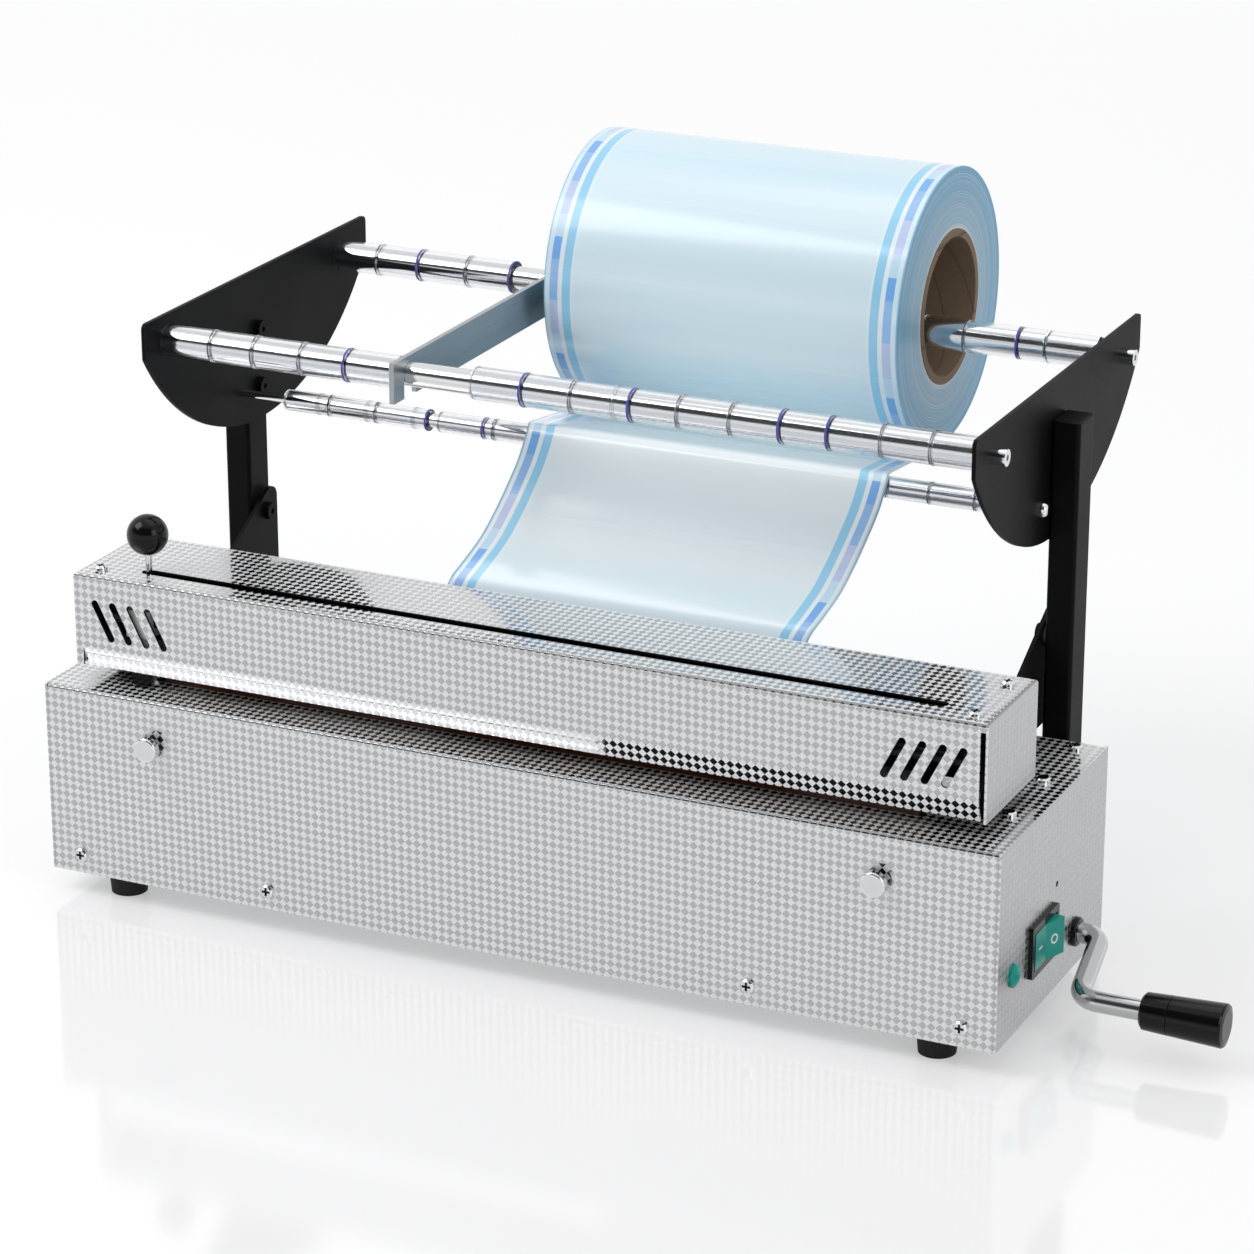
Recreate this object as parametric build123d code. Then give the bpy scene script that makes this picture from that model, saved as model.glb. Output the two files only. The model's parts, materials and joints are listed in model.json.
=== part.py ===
from build123d import *
import math
import os

# Bench heat sealer for medical pouch film, with a roll holder behind it.
# Millimetres. X runs to the right, Y to the back, Z up. While the pieces are
# made, the middle of the base is at X 0, Y 0 and the table is at Z 0.

# Base box
base_length = 500.0
base_depth = 143.0
base_height = 98.0
foot_height = 12.0
foot_radius = 10.0
foot_inset_x = 34.0
foot_inset_y = 15.5
sheet = 1.2
bend_radius = 2.0
seam = 0.1
flange_width = 16.0
bottom_flange = 16.0

# Fasteners
screw_head_radius = 3.4
screw_head_height = 2.2
screw_radius = 1.5
screw_hole_radius = 1.7
base_screw_inset = 17.0
base_screw_share = 0.51
base_screw_rise = 10.0
top_screw_front = 44.5
top_screw_back = 9.5
base_screw_length = 6.0
top_screw_length = 5.0
cover_screw_length = 8.0
top_screw_inset = 13.0
bolt_radius = 2.5
bolt_hole_radius = 2.6
bolt_head_radius = 4.4
bolt_head_height = 3.0
socket_radius = 1.6

# Front studs
stud_inset = 59.3
stud_rise = 74.7
stud_radius = 6.25
stud_height = 4.2
stud_neck_radius = 4.2
stud_neck_height = 2.6

# Jaw head: cover, brackets, beam and heater
jaw_inset = 12.0
jaw_setback = 11.5
jaw_depth = 63.5
jaw_height = 48.0
jaw_gap = 8.0
jaw_corner_gap = 2.6
lip_height = 10.0
lip_setback = 2.6
vent_length = 18.9
vent_width = 3.0
vent_pitch = 9.87
vent_count = 4
vent_lean = 26.5
vent_inset = 15.9
vent_rise = 24.9
cover_screw_inset = 10.0
cover_screw_front = 9.5
cover_screw_back = 13.0
bracket_width = 5.0
bracket_back_gap = 3.5
post_setback = 25.0
beam_thickness = 3.0
beam_back_gap = 8.5
beam_flange = 15.0
heater_end_gap = 25.5
heater_width = 14.0
heater_height = 12.5
heater_setback = 22.0
strip_thickness = 0.6
strip_clearance = 0.4
cartridge_radius = 3.25
thermostat_radius = 8.0
thermostat_height = 7.0
thermostat_offset = 16.0
blade_terminal = 6.0

# Cutter
slot_left_inset = 31.0
slot_right_inset = 26.5
slot_width = 4.0
cutter_rest_gap = 0.65
cutter_setback = 16.0
rail_setback = 10.0
rail_rise = 25.0
rail_radius = 3.0
carriage_width = 14.0
carriage_height = 14.0
stem_radius = 1.75
knob_radius = 10.2
knob_rise = 19.3
shoe_width = 9.0
blade_thickness = 0.5
blade_reach = 5.0

# Press mechanism
press_width = 12.0
pad_thickness = 2.6
pad_below_top = 0.4
press_slot_clearance = 1.0
press_bar_height = 23.0
press_travel = 8.4
arm_share = 0.6
arm_width = 24.0
arm_thickness = 7.6
arm_beyond_shaft = 15.0
guide_pin_setback = 30.0
guide_pin_radius = 4.0
guide_pin_below_top = 10.0
guide_head_radius = 7.0
guide_head_height = 4.0
spring_wire = 1.2
spring_radius = 5.6
spring_turns = 5
running_fit = 0.05

# Crank
shaft_from_back = 38.5
shaft_rise = 18.0
crank_radius = 5.0
crank_tail = 20.0
crank_elbow_out = 13.0
crank_arm_out = 8.5
crank_arm_forward = 55.0
crank_arm_down = 6.8
crank_bend = 11.0
crank_stub = 31.5
grip_length = 40.0
grip_cap = 8.0
grip_start_radius = 8.9
grip_end_radius = 10.5
cam_width = 10.0
cam_low_radius = 11.0
cam_sweep = 90.0
cam_margin = 25.0
cam_back_turns = (130.0, 160.0, 190.0, 225.0, 260.0, 295.0)
cam_back_radii = (18.5, 14.0, 11.5, 10.0, 9.2, 8.8)
bearing_offset = 35.0
bearing_width = 14.0
bearing_reach = 13.0
bush_flange_radius = 7.2
bush_flange = 2.4
bush_radius = 6.0

# Switch, lamp and inlet on the base
switch_from_front = 57.5
switch_rise = 32.6
bezel_length = 35.0
bezel_height = 25.8
bezel_thickness = 2.2
rocker_half = 13.0
rocker_height = 18.2
rocker_rest_angle = 10.0
rocker_pivot_depth = 4.0
rocker_vertex = 6.6
switch_opening = 30.2
switch_body_depth = 22.0
lamp_from_front = 20.5
lamp_rise = 30.6
lamp_radius = 5.8
lamp_barrel_radius = 4.9
lamp_dome = 2.2
vent_hole_from_front = 76.5
vent_hole_rise = 53.5
vent_hole_radius = 1.5
inlet_share = -0.24
inlet_rise = 36.0
inlet_length = 50.0
inlet_height = 24.0
inlet_body_depth = 20.0
inlet_flange_margin = 8.0
inlet_flange_thickness = 2.4
inlet_socket_length = 25.0
inlet_socket_height = 17.0
inlet_socket_depth = 15.0
inlet_pin = 2.0
inlet_pin_spacing = 7.0

# Terminal block
terminal_length = 40.0
terminal_width = 20.0
terminal_height = 15.0
terminal_from_middle = 60.0
terminal_step = 5.0
terminal_hole_radius = 2.2
terminal_ways = 4

# Roll holder
upright_width = 14.0
upright_depth = 20.0
upright_bottom_rise = 10.0
upright_below_plate_top = 19.0
upright_gap = 2.5
upright_wall = 1.5
plate_inset = 34.7
plate_thickness = 2.0
plate_front_reach = 109.0
plate_back_reach = 115.0
plate_rise = 175.0
plate_height = 78.0
plate_end_height = 18.0
plate_corner = 3.0
plate_bolt_drops = (61.0, 31.0)
gusset_height = 62.8
gusset_slope = 29.1
gusset_reach = 82.0
gusset_bolt_rise = 47.0
gusset_foot_width = 14.0
spacer_radius = 6.0
upright_bolt_rise = 28.0
upright_bolt_drop = 18.0

# Rods and their clear sleeves
front_rod_inset = 21.4
front_rod_drop = 13.0
rear_rod_inset = 27.4
rear_rod_drop = 14.6
lower_rod_inset = 18.0
lower_rod_drop = 60.0
rod_radius = 6.0
sleeve_radius = 8.0
sleeve_bore_gap = 0.1
sleeve_gap = 0.3
lower_rod_radius = 3.5
lower_rod_thin_radius = 2.0
lower_sleeve_radius = 5.25
lower_sleeve_inset = 26.3
lower_sleeve_end_gap = 4.3
front_left_gap = 2.9
front_right_gap = 37.0
front_right_end_gap = 2.8
rear_left_gap = 30.0
rear_right_inset = 14.0
rear_right_end_gap = 9.3
rod_head_radius = 4.0
rod_head_height = 7.0
dome_head_height = 3.0
lower_screw_radius = 1.2

# Roll guide
guide_roll_gap = 5.5
guide_thickness = 2.6
guide_height = 20.0
guide_cover = 3.0
guide_front_reach = 16.4
guide_back_reach = 14.4
guide_notch_clearance = 0.15

# Film roll and the web that runs from it into the jaws
roll_left = -74.0
roll_width = 190.0
roll_radius = 70.0
core_radius = 39.0
core_bore = 35.0
core_proud = 0.5
roll_rise = 5.6
soft_gap = 0.3
web_thickness = 0.6
web_bend_radius = 10.0
web_bend_from_back = 55.5
web_tuck = 23.5
web_rod_shift = 18.5
web_gap_shift = -3.5

# Places that follow from the sizes above
half_length = base_length / 2
base_screw_x = (half_length * base_screw_share, half_length - base_screw_inset)
stud_x = half_length - stud_inset
plate_outer_x = half_length - plate_inset
arm_x = half_length * arm_share
bearing_x = arm_x + bearing_offset
inlet_x = half_length * inlet_share
crank_inner_end = -bearing_x - crank_tail
crank_elbow_x = half_length + crank_elbow_out
half_depth = base_depth / 2
top_z = foot_height + base_height
shaft_y = half_depth - shaft_from_back
shaft_z = foot_height + shaft_rise
switch_y = -half_depth + switch_from_front
switch_z = foot_height + switch_rise
lamp_y = -half_depth + lamp_from_front
lamp_z = foot_height + lamp_rise
vent_hole_y = -half_depth + vent_hole_from_front
vent_hole_z = foot_height + vent_hole_rise
inlet_z = foot_height + inlet_rise
top_screw_middle = (top_screw_front - top_screw_back) / 2
top_screw_y = (-half_depth + top_screw_front, top_screw_middle, half_depth - top_screw_back)
jaw_front = -half_depth + jaw_setback
jaw_back = jaw_front + jaw_depth
cover_screw_y = (jaw_front + cover_screw_front, jaw_back - cover_screw_back)
bracket_back = jaw_back - bracket_back_gap
post_front = jaw_front + post_setback
beam_back = jaw_back - beam_back_gap
heater_y = jaw_front + heater_setback
cutter_y = jaw_front + cutter_setback
rail_y = jaw_front + rail_setback
arm_back = shaft_y + arm_beyond_shaft
guide_pin_y = heater_y + guide_pin_setback
guide_pin_top = top_z - guide_pin_below_top
upright_front = half_depth + upright_gap
floor_inside = foot_height + sheet
cover_end = half_length - sheet - seam
jaw_half = half_length - jaw_inset
vent_outer_x = jaw_half - vent_inset
cover_screw_x = jaw_half - cover_screw_inset
slot_left = -jaw_half + slot_left_inset
slot_right = jaw_half - slot_right_inset
cutter_x = slot_left + stem_radius + cutter_rest_gap
jaw_bottom = top_z + jaw_gap
jaw_top = jaw_bottom + jaw_height
plate_inner_x = plate_outer_x - plate_thickness
upright_x = plate_outer_x + upright_width / 2
upright_y = upright_front + upright_depth / 2
plate_front = upright_y - plate_front_reach
plate_back = upright_y + plate_back_reach
plate_top = top_z + plate_rise
plate_bottom = plate_top - plate_height
plate_bottom_y = upright_y
plate_shoulder = plate_top - plate_end_height
plate_bolt_z = [plate_top - drop for drop in plate_bolt_drops]
upright_bottom = foot_height + upright_bottom_rise
upright_top = plate_top - upright_below_plate_top
upright_bolt_z = (foot_height + upright_bolt_rise, top_z - upright_bolt_drop)
gusset_top = top_z + gusset_height
gusset_nose_y = upright_front + upright_depth - gusset_reach
gusset_bolt_z = top_z + gusset_bolt_rise
front_rod_y = plate_front + front_rod_inset
front_rod_z = plate_top - front_rod_drop
rear_rod_y = plate_back - rear_rod_inset
rear_rod_z = plate_top - rear_rod_drop
lower_rod_y = upright_y - lower_rod_inset
lower_rod_z = plate_top - lower_rod_drop
guide_front = front_rod_y - guide_front_reach
guide_back = rear_rod_y + guide_back_reach
roll_centre_z = rear_rod_z + roll_rise
web_bend_y = half_depth - web_bend_from_back
web_end_y = jaw_back - web_tuck
bracket_outer_x = cover_screw_x + bracket_width / 2
bracket_inner_x = cover_screw_x - bracket_width / 2
heater_length = 2 * (bracket_inner_x - heater_end_gap)
press_length = heater_length
bracket_top = jaw_top - sheet - seam
strip_bottom = jaw_bottom + strip_clearance
heater_bottom = strip_bottom + strip_thickness
heater_top = heater_bottom + heater_height
beam_top = heater_top + beam_thickness
rail_z = jaw_bottom + rail_rise
knob_z = jaw_top + knob_rise
pad_top = top_z - pad_below_top
bar_top = pad_top - pad_thickness
bar_bottom = bar_top - press_bar_height
cam_rise = press_travel / math.radians(cam_sweep)


def flat_follower_height(radius):
    """Height of a flat follower over the spiral cam where its radius is given."""
    lean = math.atan2(cam_rise, radius)
    return (radius + cam_rise * lean) * math.cos(lean)


arm_bottom = shaft_z + flat_follower_height(cam_low_radius) + soft_gap
arm_top = arm_bottom + arm_thickness
pivot_x = half_length - rocker_pivot_depth
grip_y = shaft_y - crank_arm_forward
grip_z = shaft_z - crank_arm_down
arm_end_x = crank_elbow_x + crank_arm_out
grip_start_x = arm_end_x + crank_stub
grip_end_x = grip_start_x + grip_length
roll_right = roll_left + roll_width
web_rod_left = roll_left + web_rod_shift
web_rod_right = roll_right + web_rod_shift
web_gap_left = roll_left + web_gap_shift
web_gap_right = roll_right + web_gap_shift
guide_x = roll_left - core_proud - guide_roll_gap - guide_thickness / 2
lower_sleeve_start = -plate_inner_x + lower_sleeve_inset
lower_sleeve_end = plate_inner_x - lower_sleeve_end_gap
front_left_end = guide_x - front_left_gap
front_right_start = guide_x + front_right_gap
front_right_end = plate_inner_x - front_right_end_gap
rear_left_end = guide_x - rear_left_gap
rear_right_start = roll_left + rear_right_inset
rear_right_end = plate_inner_x - rear_right_end_gap
roll_hang = core_bore - sleeve_radius - soft_gap
roll_centre_y = rear_rod_y + math.sqrt(roll_hang**2 - (roll_centre_z - rear_rod_z) ** 2)


def block(x0, x1, y0, y1, z0, z1):
    """Box between two opposite corners."""
    middle = Pos((x0 + x1) / 2, (y0 + y1) / 2, (z0 + z1) / 2)
    return middle * Box(x1 - x0, y1 - y0, z1 - z0)


def bar_x(x0, x1, y, z, radius):
    """Round bar along X."""
    return Pos((x0 + x1) / 2, y, z) * Rot(0, 90, 0) * Cylinder(radius, x1 - x0)


def bar_y(y0, y1, x, z, radius):
    """Round bar along Y."""
    return Pos(x, (y0 + y1) / 2, z) * Rot(90, 0, 0) * Cylinder(radius, y1 - y0)


def bar_z(z0, z1, x, y, radius):
    """Round bar along Z."""
    return Pos(x, y, (z0 + z1) / 2) * Cylinder(radius, z1 - z0)


def tube_x(x0, x1, y, z, radius, bore):
    """Round tube along X."""
    return bar_x(x0, x1, y, z, radius) - bar_x(x0 - 1, x1 + 1, y, z, bore)


def mirrored(shape):
    """The same piece for the other end."""
    return mirror(shape, about=Plane.YZ)


def group(shapes):
    """Several separate solids kept in one node."""
    return Compound(children=list(shapes))


def side_profile(points, corner_radii=()):
    """Face in the YZ plane from corner points, with some corners rounded."""
    face = make_face(Plane.YZ * Polyline(*points, close=True))
    for (y, z), radius in corner_radii:
        corner = face.vertices().sort_by_distance((0, y, z))[0]
        face = fillet(corner, radius)
    return face


def extrude_x(face, x0, x1):
    """Extrude a face of the YZ plane from one X to another."""
    return Pos(x0, 0, 0) * extrude(face, amount=x1 - x0, dir=(1, 0, 0))


def pan_screw(length):
    """Pan head screw that stands on Z 0 with its shank below."""
    head = Cylinder(screw_head_radius, screw_head_height, align=(Align.CENTER, Align.CENTER, Align.MIN))
    head = chamfer(head.edges().group_by(Axis.Z)[-1], screw_head_height / 3)
    shank = Cylinder(screw_radius, length, align=(Align.CENTER, Align.CENTER, Align.MAX))
    return head + shank


def cap_bolt(head_radius, head_height, shank_radius, length):
    """Socket head bolt that stands on Z 0 with its shank below."""
    head = Cylinder(head_radius, head_height, align=(Align.CENTER, Align.CENTER, Align.MIN))
    socket = extrude(RegularPolygon(socket_radius, 6), bolt_head_height)
    head -= Pos(0, 0, head_height - bolt_head_height / 2) * socket
    shank = Cylinder(shank_radius, length, align=(Align.CENTER, Align.CENTER, Align.MAX))
    return head + shank


facing_front = Rot(90, 0, 0)
facing_back = Rot(-90, 0, 0)
facing_right = Rot(0, 90, 0)
facing_left = Rot(0, -90, 0)
facing_down = Rot(180, 0, 0)


def folded_hood(x_half, y0, y1, z0, z1, ends_open):
    """Sheet hood, open below, with rounded folds along its top edges."""
    inner_half = x_half + 1 if ends_open else x_half - sheet
    outer = block(-x_half, x_half, y0, y1, z0, z1)
    inner = block(-inner_half, inner_half, y0 + sheet, y1 - sheet, z0 - 1, z1 - sheet)
    outer_folds = outer.edges().group_by(Axis.Z)[-1]
    inner_folds = inner.edges().group_by(Axis.Z)[-1]
    if ends_open:
        outer_folds = outer_folds.filter_by(Axis.X)
        inner_folds = inner_folds.filter_by(Axis.X)
    return fillet(outer_folds, bend_radius) - fillet(inner_folds, bend_radius - sheet)


def base_screw_places():
    """X and Z of the screws along the lower edge of the front and the back."""
    return [(side * x, foot_height + base_screw_rise) for x in base_screw_x for side in (-1, 1)]


def foot_places():
    """X and Y of the feet."""
    x = half_length - foot_inset_x
    y = half_depth - foot_inset_y
    return [(sx * x, sy * y) for sx in (-1, 1) for sy in (-1, 1)]


def make_base_cover():
    cover = folded_hood(cover_end, -half_depth, half_depth, foot_height, top_z, True)
    slot_half = press_length / 2 + 2 * press_slot_clearance
    slot_side = press_width / 2 + press_slot_clearance
    cover -= block(-slot_half, slot_half, heater_y - slot_side, heater_y + slot_side, top_z - 5, top_z + 5)
    for x, z in base_screw_places():
        cover -= bar_y(-half_depth - 5, -half_depth + 5, x, z, screw_hole_radius)
        cover -= bar_y(half_depth - 5, half_depth + 5, x, z, screw_hole_radius)
    for side in (-1, 1):
        stud_z = foot_height + stud_rise
        cover -= bar_y(-half_depth - 5, -half_depth + 5, side * stud_x, stud_z, screw_hole_radius)
        screw_x = side * (half_length - top_screw_inset)
        for y in top_screw_y:
            cover -= bar_z(top_z - 5, top_z + 5, screw_x, y, screw_hole_radius)
        for z in upright_bolt_z:
            cover -= bar_y(half_depth - 5, half_depth + 5, side * upright_x, z, bolt_hole_radius)
    cover -= block(
        inlet_x - inlet_length / 2 + inlet_flange_margin,
        inlet_x + inlet_length / 2 - inlet_flange_margin,
        half_depth - 5,
        half_depth + 5,
        inlet_z - inlet_height / 2,
        inlet_z + inlet_height / 2,
    )
    return cover


def make_side_panel():
    """Left panel: a flat end with a flange folded in under the top."""
    panel = block(half_length - sheet, half_length, -half_depth, half_depth, foot_height, top_z)
    flange_top = top_z - sheet - seam
    panel += block(
        half_length - sheet - flange_width,
        half_length - sheet,
        -half_depth + 2 * bend_radius,
        half_depth - 2 * bend_radius,
        flange_top - sheet,
        flange_top,
    )
    screw_x = half_length - top_screw_inset
    for y in top_screw_y:
        panel -= bar_z(top_z - 5, top_z - sheet, screw_x, y, screw_radius + running_fit)
    return mirrored(panel)


def make_control_panel():
    """Right panel: the same end with the switch, lamp and crank openings."""
    panel = mirrored(make_side_panel())
    opening = switch_opening / 2 + 0.6
    panel -= block(
        half_length - 3,
        half_length + 1,
        switch_y - opening,
        switch_y + opening,
        switch_z - rocker_height / 2 - 1,
        switch_z + rocker_height / 2 + 1,
    )
    panel -= bar_x(half_length - 3, half_length + 1, lamp_y, lamp_z, lamp_barrel_radius + running_fit)
    panel -= bar_x(half_length - 3, half_length + 1, shaft_y, shaft_z, bush_radius + running_fit)
    panel -= bar_x(half_length - 3, half_length + 1, vent_hole_y, vent_hole_z, vent_hole_radius)
    return panel


def make_bottom_plate():
    inside = half_depth - sheet - seam
    tray = block(-cover_end, cover_end, -inside, inside, foot_height, floor_inside)
    for y0, y1 in ((-inside, -inside + sheet), (inside - sheet, inside)):
        tray += block(-cover_end, cover_end, y0, y1, foot_height, foot_height + bottom_flange)
    for x, z in base_screw_places():
        tray -= bar_y(-inside - 1, -inside + sheet + 1, x, z, screw_radius + running_fit)
        tray -= bar_y(inside - sheet - 1, inside + 1, x, z, screw_radius + running_fit)
    for x, y in foot_places():
        tray -= bar_z(foot_height - 1, floor_inside + 1, x, y, screw_radius + running_fit)
    return tray


def make_feet():
    """Tapered rubber feet with a recess for their screws."""
    feet = []
    for x, y in foot_places():
        foot = Pos(x, y, foot_height / 2) * Cone(foot_radius - 1, foot_radius, foot_height)
        foot -= bar_z(-1, foot_height / 2, x, y, screw_head_radius + 0.6)
        foot -= bar_z(0, foot_height + 1, x, y, screw_radius + running_fit)
        feet.append(foot)
    return group(feet)


def make_base_screws():
    screws = []
    for x, z in base_screw_places():
        screws.append(Pos(x, -half_depth, z) * facing_front * pan_screw(base_screw_length))
        screws.append(Pos(x, half_depth, z) * facing_back * pan_screw(base_screw_length))
    foot_screw_length = foot_height / 2 + base_screw_length - 2
    for x, y in foot_places():
        screws.append(Pos(x, y, foot_height / 2) * facing_down * pan_screw(foot_screw_length))
    return group(screws)


def make_top_screws():
    x = half_length - top_screw_inset
    places = [Pos(side * x, y, top_z) for side in (-1, 1) for y in top_screw_y]
    return group(place * pan_screw(top_screw_length) for place in places)


def make_stud_caps():
    """Round chrome caps in front of their necks."""
    face_y = -half_depth - stud_neck_height
    caps = []
    for side in (-1, 1):
        cap = Cylinder(stud_radius, stud_height, align=(Align.CENTER, Align.CENTER, Align.MIN))
        cap = fillet(cap.edges().group_by(Axis.Z)[-1], 1.2)
        cap += Cylinder(screw_radius, stud_neck_height + 5, align=(Align.CENTER, Align.CENTER, Align.MAX))
        caps.append(Pos(side * stud_x, face_y, foot_height + stud_rise) * facing_front * cap)
    return group(caps)


def make_stud_necks():
    necks = []
    for side in (-1, 1):
        z = foot_height + stud_rise
        neck = bar_y(-half_depth - stud_neck_height, -half_depth, side * stud_x, z, stud_neck_radius)
        bore = bar_y(-half_depth - 9, -half_depth + 1, side * stud_x, z, screw_radius + running_fit)
        necks.append(neck - bore)
    return group(necks)


def make_crank_bush():
    bush = bar_x(half_length, half_length + bush_flange, shaft_y, shaft_z, bush_flange_radius)
    bush = chamfer(bush.edges().group_by(Axis.X)[-1], 0.8)
    bush += bar_x(half_length - 6, half_length, shaft_y, shaft_z, bush_radius)
    return bush - bar_x(half_length - 10, half_length + 10, shaft_y, shaft_z, crank_radius + running_fit)


def make_crank():
    """One bent rod: the shaft inside the base, the arm and the handle stub."""
    path = FilletPolyline(
        (crank_inner_end, shaft_y, shaft_z),
        (crank_elbow_x, shaft_y, shaft_z),
        (arm_end_x, grip_y, grip_z),
        (grip_end_x - grip_cap, grip_y, grip_z),
        radius=crank_bend,
    )
    section = Plane(origin=(crank_inner_end, shaft_y, shaft_z), z_dir=(1, 0, 0)) * Circle(crank_radius)
    return sweep(section, path=path)


def make_crank_grip():
    """Tapered handle with a seam ring and a slightly domed end."""
    seam_x = grip_start_x + (grip_end_x - grip_start_x) / 3
    seam_radius = grip_start_radius + (grip_end_radius - grip_start_radius) / 3
    outline = Polyline(
        (grip_start_x, 0),
        (grip_start_x, grip_start_radius - 1.2),
        (grip_start_x + 1.2, grip_start_radius),
        (seam_x - 0.3, seam_radius),
        (seam_x, seam_radius - 0.3),
        (seam_x + 0.3, seam_radius),
        (grip_end_x - 1.4, grip_end_radius),
        (grip_end_x - 0.5, grip_end_radius - 0.6),
        (grip_end_x, grip_end_radius - 3),
        (grip_end_x, 0),
        close=True,
    )
    grip = Pos(0, grip_y, grip_z) * revolve(make_face(outline), axis=Axis.X)
    return grip - bar_x(grip_start_x - 1, grip_end_x - grip_cap, grip_y, grip_z, crank_radius)


def make_lift_cams():
    """Spiral cams whose radius grows evenly over the turn of the crank."""
    start = -cam_margin
    end = cam_sweep + cam_margin
    steps = 8
    spiral = []
    for step in range(steps + 1):
        turn = math.radians(start + (end - start) * step / steps)
        radius = cam_low_radius + cam_rise * turn
        spiral.append((shaft_y - radius * math.sin(turn), shaft_z + radius * math.cos(turn)))
    closing = [spiral[-1]]
    for turn_back, radius in zip(cam_back_turns, cam_back_radii):
        turn = math.radians(turn_back)
        closing.append((shaft_y - radius * math.sin(turn), shaft_z + radius * math.cos(turn)))
    closing.append(spiral[0])
    rise = Plane.YZ * Spline(*spiral)
    back = Plane.YZ * Polyline(*closing)
    cam = extrude(make_face([rise, *back.edges()]), amount=cam_width / 2, both=True)
    cam -= bar_x(-cam_width, cam_width, shaft_y, shaft_z, crank_radius)
    return group(Pos(side * arm_x, 0, 0) * cam for side in (-1, 1))


def make_bearing_blocks():
    """Pillow blocks that carry the shaft on the bottom plate."""
    foot = bearing_reach + 5
    outline = [
        (shaft_y - foot, floor_inside),
        (shaft_y + foot, floor_inside),
        (shaft_y + foot, floor_inside + 5),
        (shaft_y + bearing_reach, floor_inside + 5),
        (shaft_y + bearing_reach, shaft_z + bearing_reach),
        (shaft_y - bearing_reach, shaft_z + bearing_reach),
        (shaft_y - bearing_reach, floor_inside + 5),
        (shaft_y - foot, floor_inside + 5),
    ]
    top = shaft_z + bearing_reach
    rounded = [((shaft_y + side * bearing_reach, top), bearing_reach * 0.7) for side in (-1, 1)]
    one = extrude_x(side_profile(outline, rounded), -bearing_width / 2, bearing_width / 2)
    one -= bar_x(-bearing_width, bearing_width, shaft_y, shaft_z, crank_radius + running_fit)
    return group(Pos(side * bearing_x, 0, 0) * one for side in (-1, 1))


def make_press_bar():
    """Bar under the pad with two arms that reach back over the cams."""
    front = heater_y - press_width / 2
    back = heater_y + press_width / 2
    bar = block(-press_length / 2, press_length / 2, front, back, bar_bottom, bar_top)
    for side in (-1, 1):
        x0 = side * arm_x - arm_width / 2
        x1 = side * arm_x + arm_width / 2
        bar += block(x0, x1, front, back, arm_bottom, bar_bottom)
        bar += block(x0, x1, back, arm_back, arm_bottom, arm_top)
        bar -= bar_z(arm_bottom - 1, arm_top + 1, side * arm_x, guide_pin_y, guide_pin_radius + running_fit)
    return bar


def make_silicone_pad():
    half = press_length / 2 - 1
    pad = block(-half, half, heater_y - press_width / 2, heater_y + press_width / 2, bar_top, pad_top)
    return fillet(pad.edges().filter_by(Axis.X).group_by(Axis.Z)[-1], 0.8)


def make_guide_pins():
    """Headed pins that the arms slide up and down on."""
    pins = []
    for side in (-1, 1):
        pin = bar_z(floor_inside, guide_pin_top, side * arm_x, guide_pin_y, guide_pin_radius)
        head_bottom = guide_pin_top - guide_head_height
        pins.append(pin + bar_z(head_bottom, guide_pin_top, side * arm_x, guide_pin_y, guide_head_radius))
    return group(pins)


def make_return_springs():
    """Compression springs that push the arms back down."""
    low = arm_top + spring_wire / 2 + running_fit
    high = guide_pin_top - guide_head_height - spring_wire / 2 - running_fit
    coil = Helix(pitch=(high - low) / spring_turns, height=high - low, radius=spring_radius)
    section = Plane(origin=coil @ 0, z_dir=coil % 0) * Circle(spring_wire / 2)
    spring = sweep(section, path=coil, is_frenet=True)
    return group(Pos(side * arm_x, guide_pin_y, low) * spring for side in (-1, 1))


def make_terminal_block():
    """Mains terminal strip on the bottom plate."""
    x0 = -terminal_from_middle
    x1 = x0 + terminal_length
    front = heater_y + terminal_width
    back = front + terminal_width
    top = floor_inside + terminal_height
    step_z = floor_inside + terminal_height / 2
    strip = block(x0, x1, front, back, floor_inside, top)
    strip -= block(x0 - 1, x1 + 1, front - 1, front + terminal_step, step_z, top + 1)
    for way in range(terminal_ways):
        x = x0 + terminal_length * (way + 0.5) / terminal_ways
        middle = (front + terminal_step + back) / 2
        strip -= bar_z(step_z, top + 1, x, middle, terminal_hole_radius)
    return strip


def make_power_inlet():
    """Recessed mains inlet in the back, with its three pins."""
    half = inlet_length / 2
    flange_half = inlet_height / 2 + 2
    front = half_depth - inlet_body_depth
    face = half_depth + inlet_flange_thickness
    z0 = inlet_z - flange_half
    z1 = inlet_z + flange_half
    inlet = block(inlet_x - half, inlet_x + half, half_depth, face, z0, z1)
    inlet = fillet(inlet.edges().filter_by(Axis.Y), 3)
    body_half = half - inlet_flange_margin - seam
    body_height = inlet_height / 2 - seam
    x0 = inlet_x - body_half
    x1 = inlet_x + body_half
    inlet += block(x0, x1, front, half_depth, inlet_z - body_height, inlet_z + body_height)
    x0 = inlet_x - inlet_socket_length / 2
    x1 = inlet_x + inlet_socket_length / 2
    socket_back = half_depth - inlet_socket_depth
    socket_half = inlet_socket_height / 2
    inlet -= block(x0, x1, socket_back, face + 1, inlet_z - socket_half, inlet_z + socket_half)
    for side in (-1, 0, 1):
        x = inlet_x + side * inlet_pin_spacing
        z = inlet_z + inlet_pin * (1 - 2 * abs(side))
        pin_half = inlet_pin / 2
        pin_end = half_depth - 2
        inlet += block(x - pin_half, x + pin_half, socket_back - 0.5, pin_end, z - inlet_pin, z + inlet_pin)
    return inlet


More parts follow.
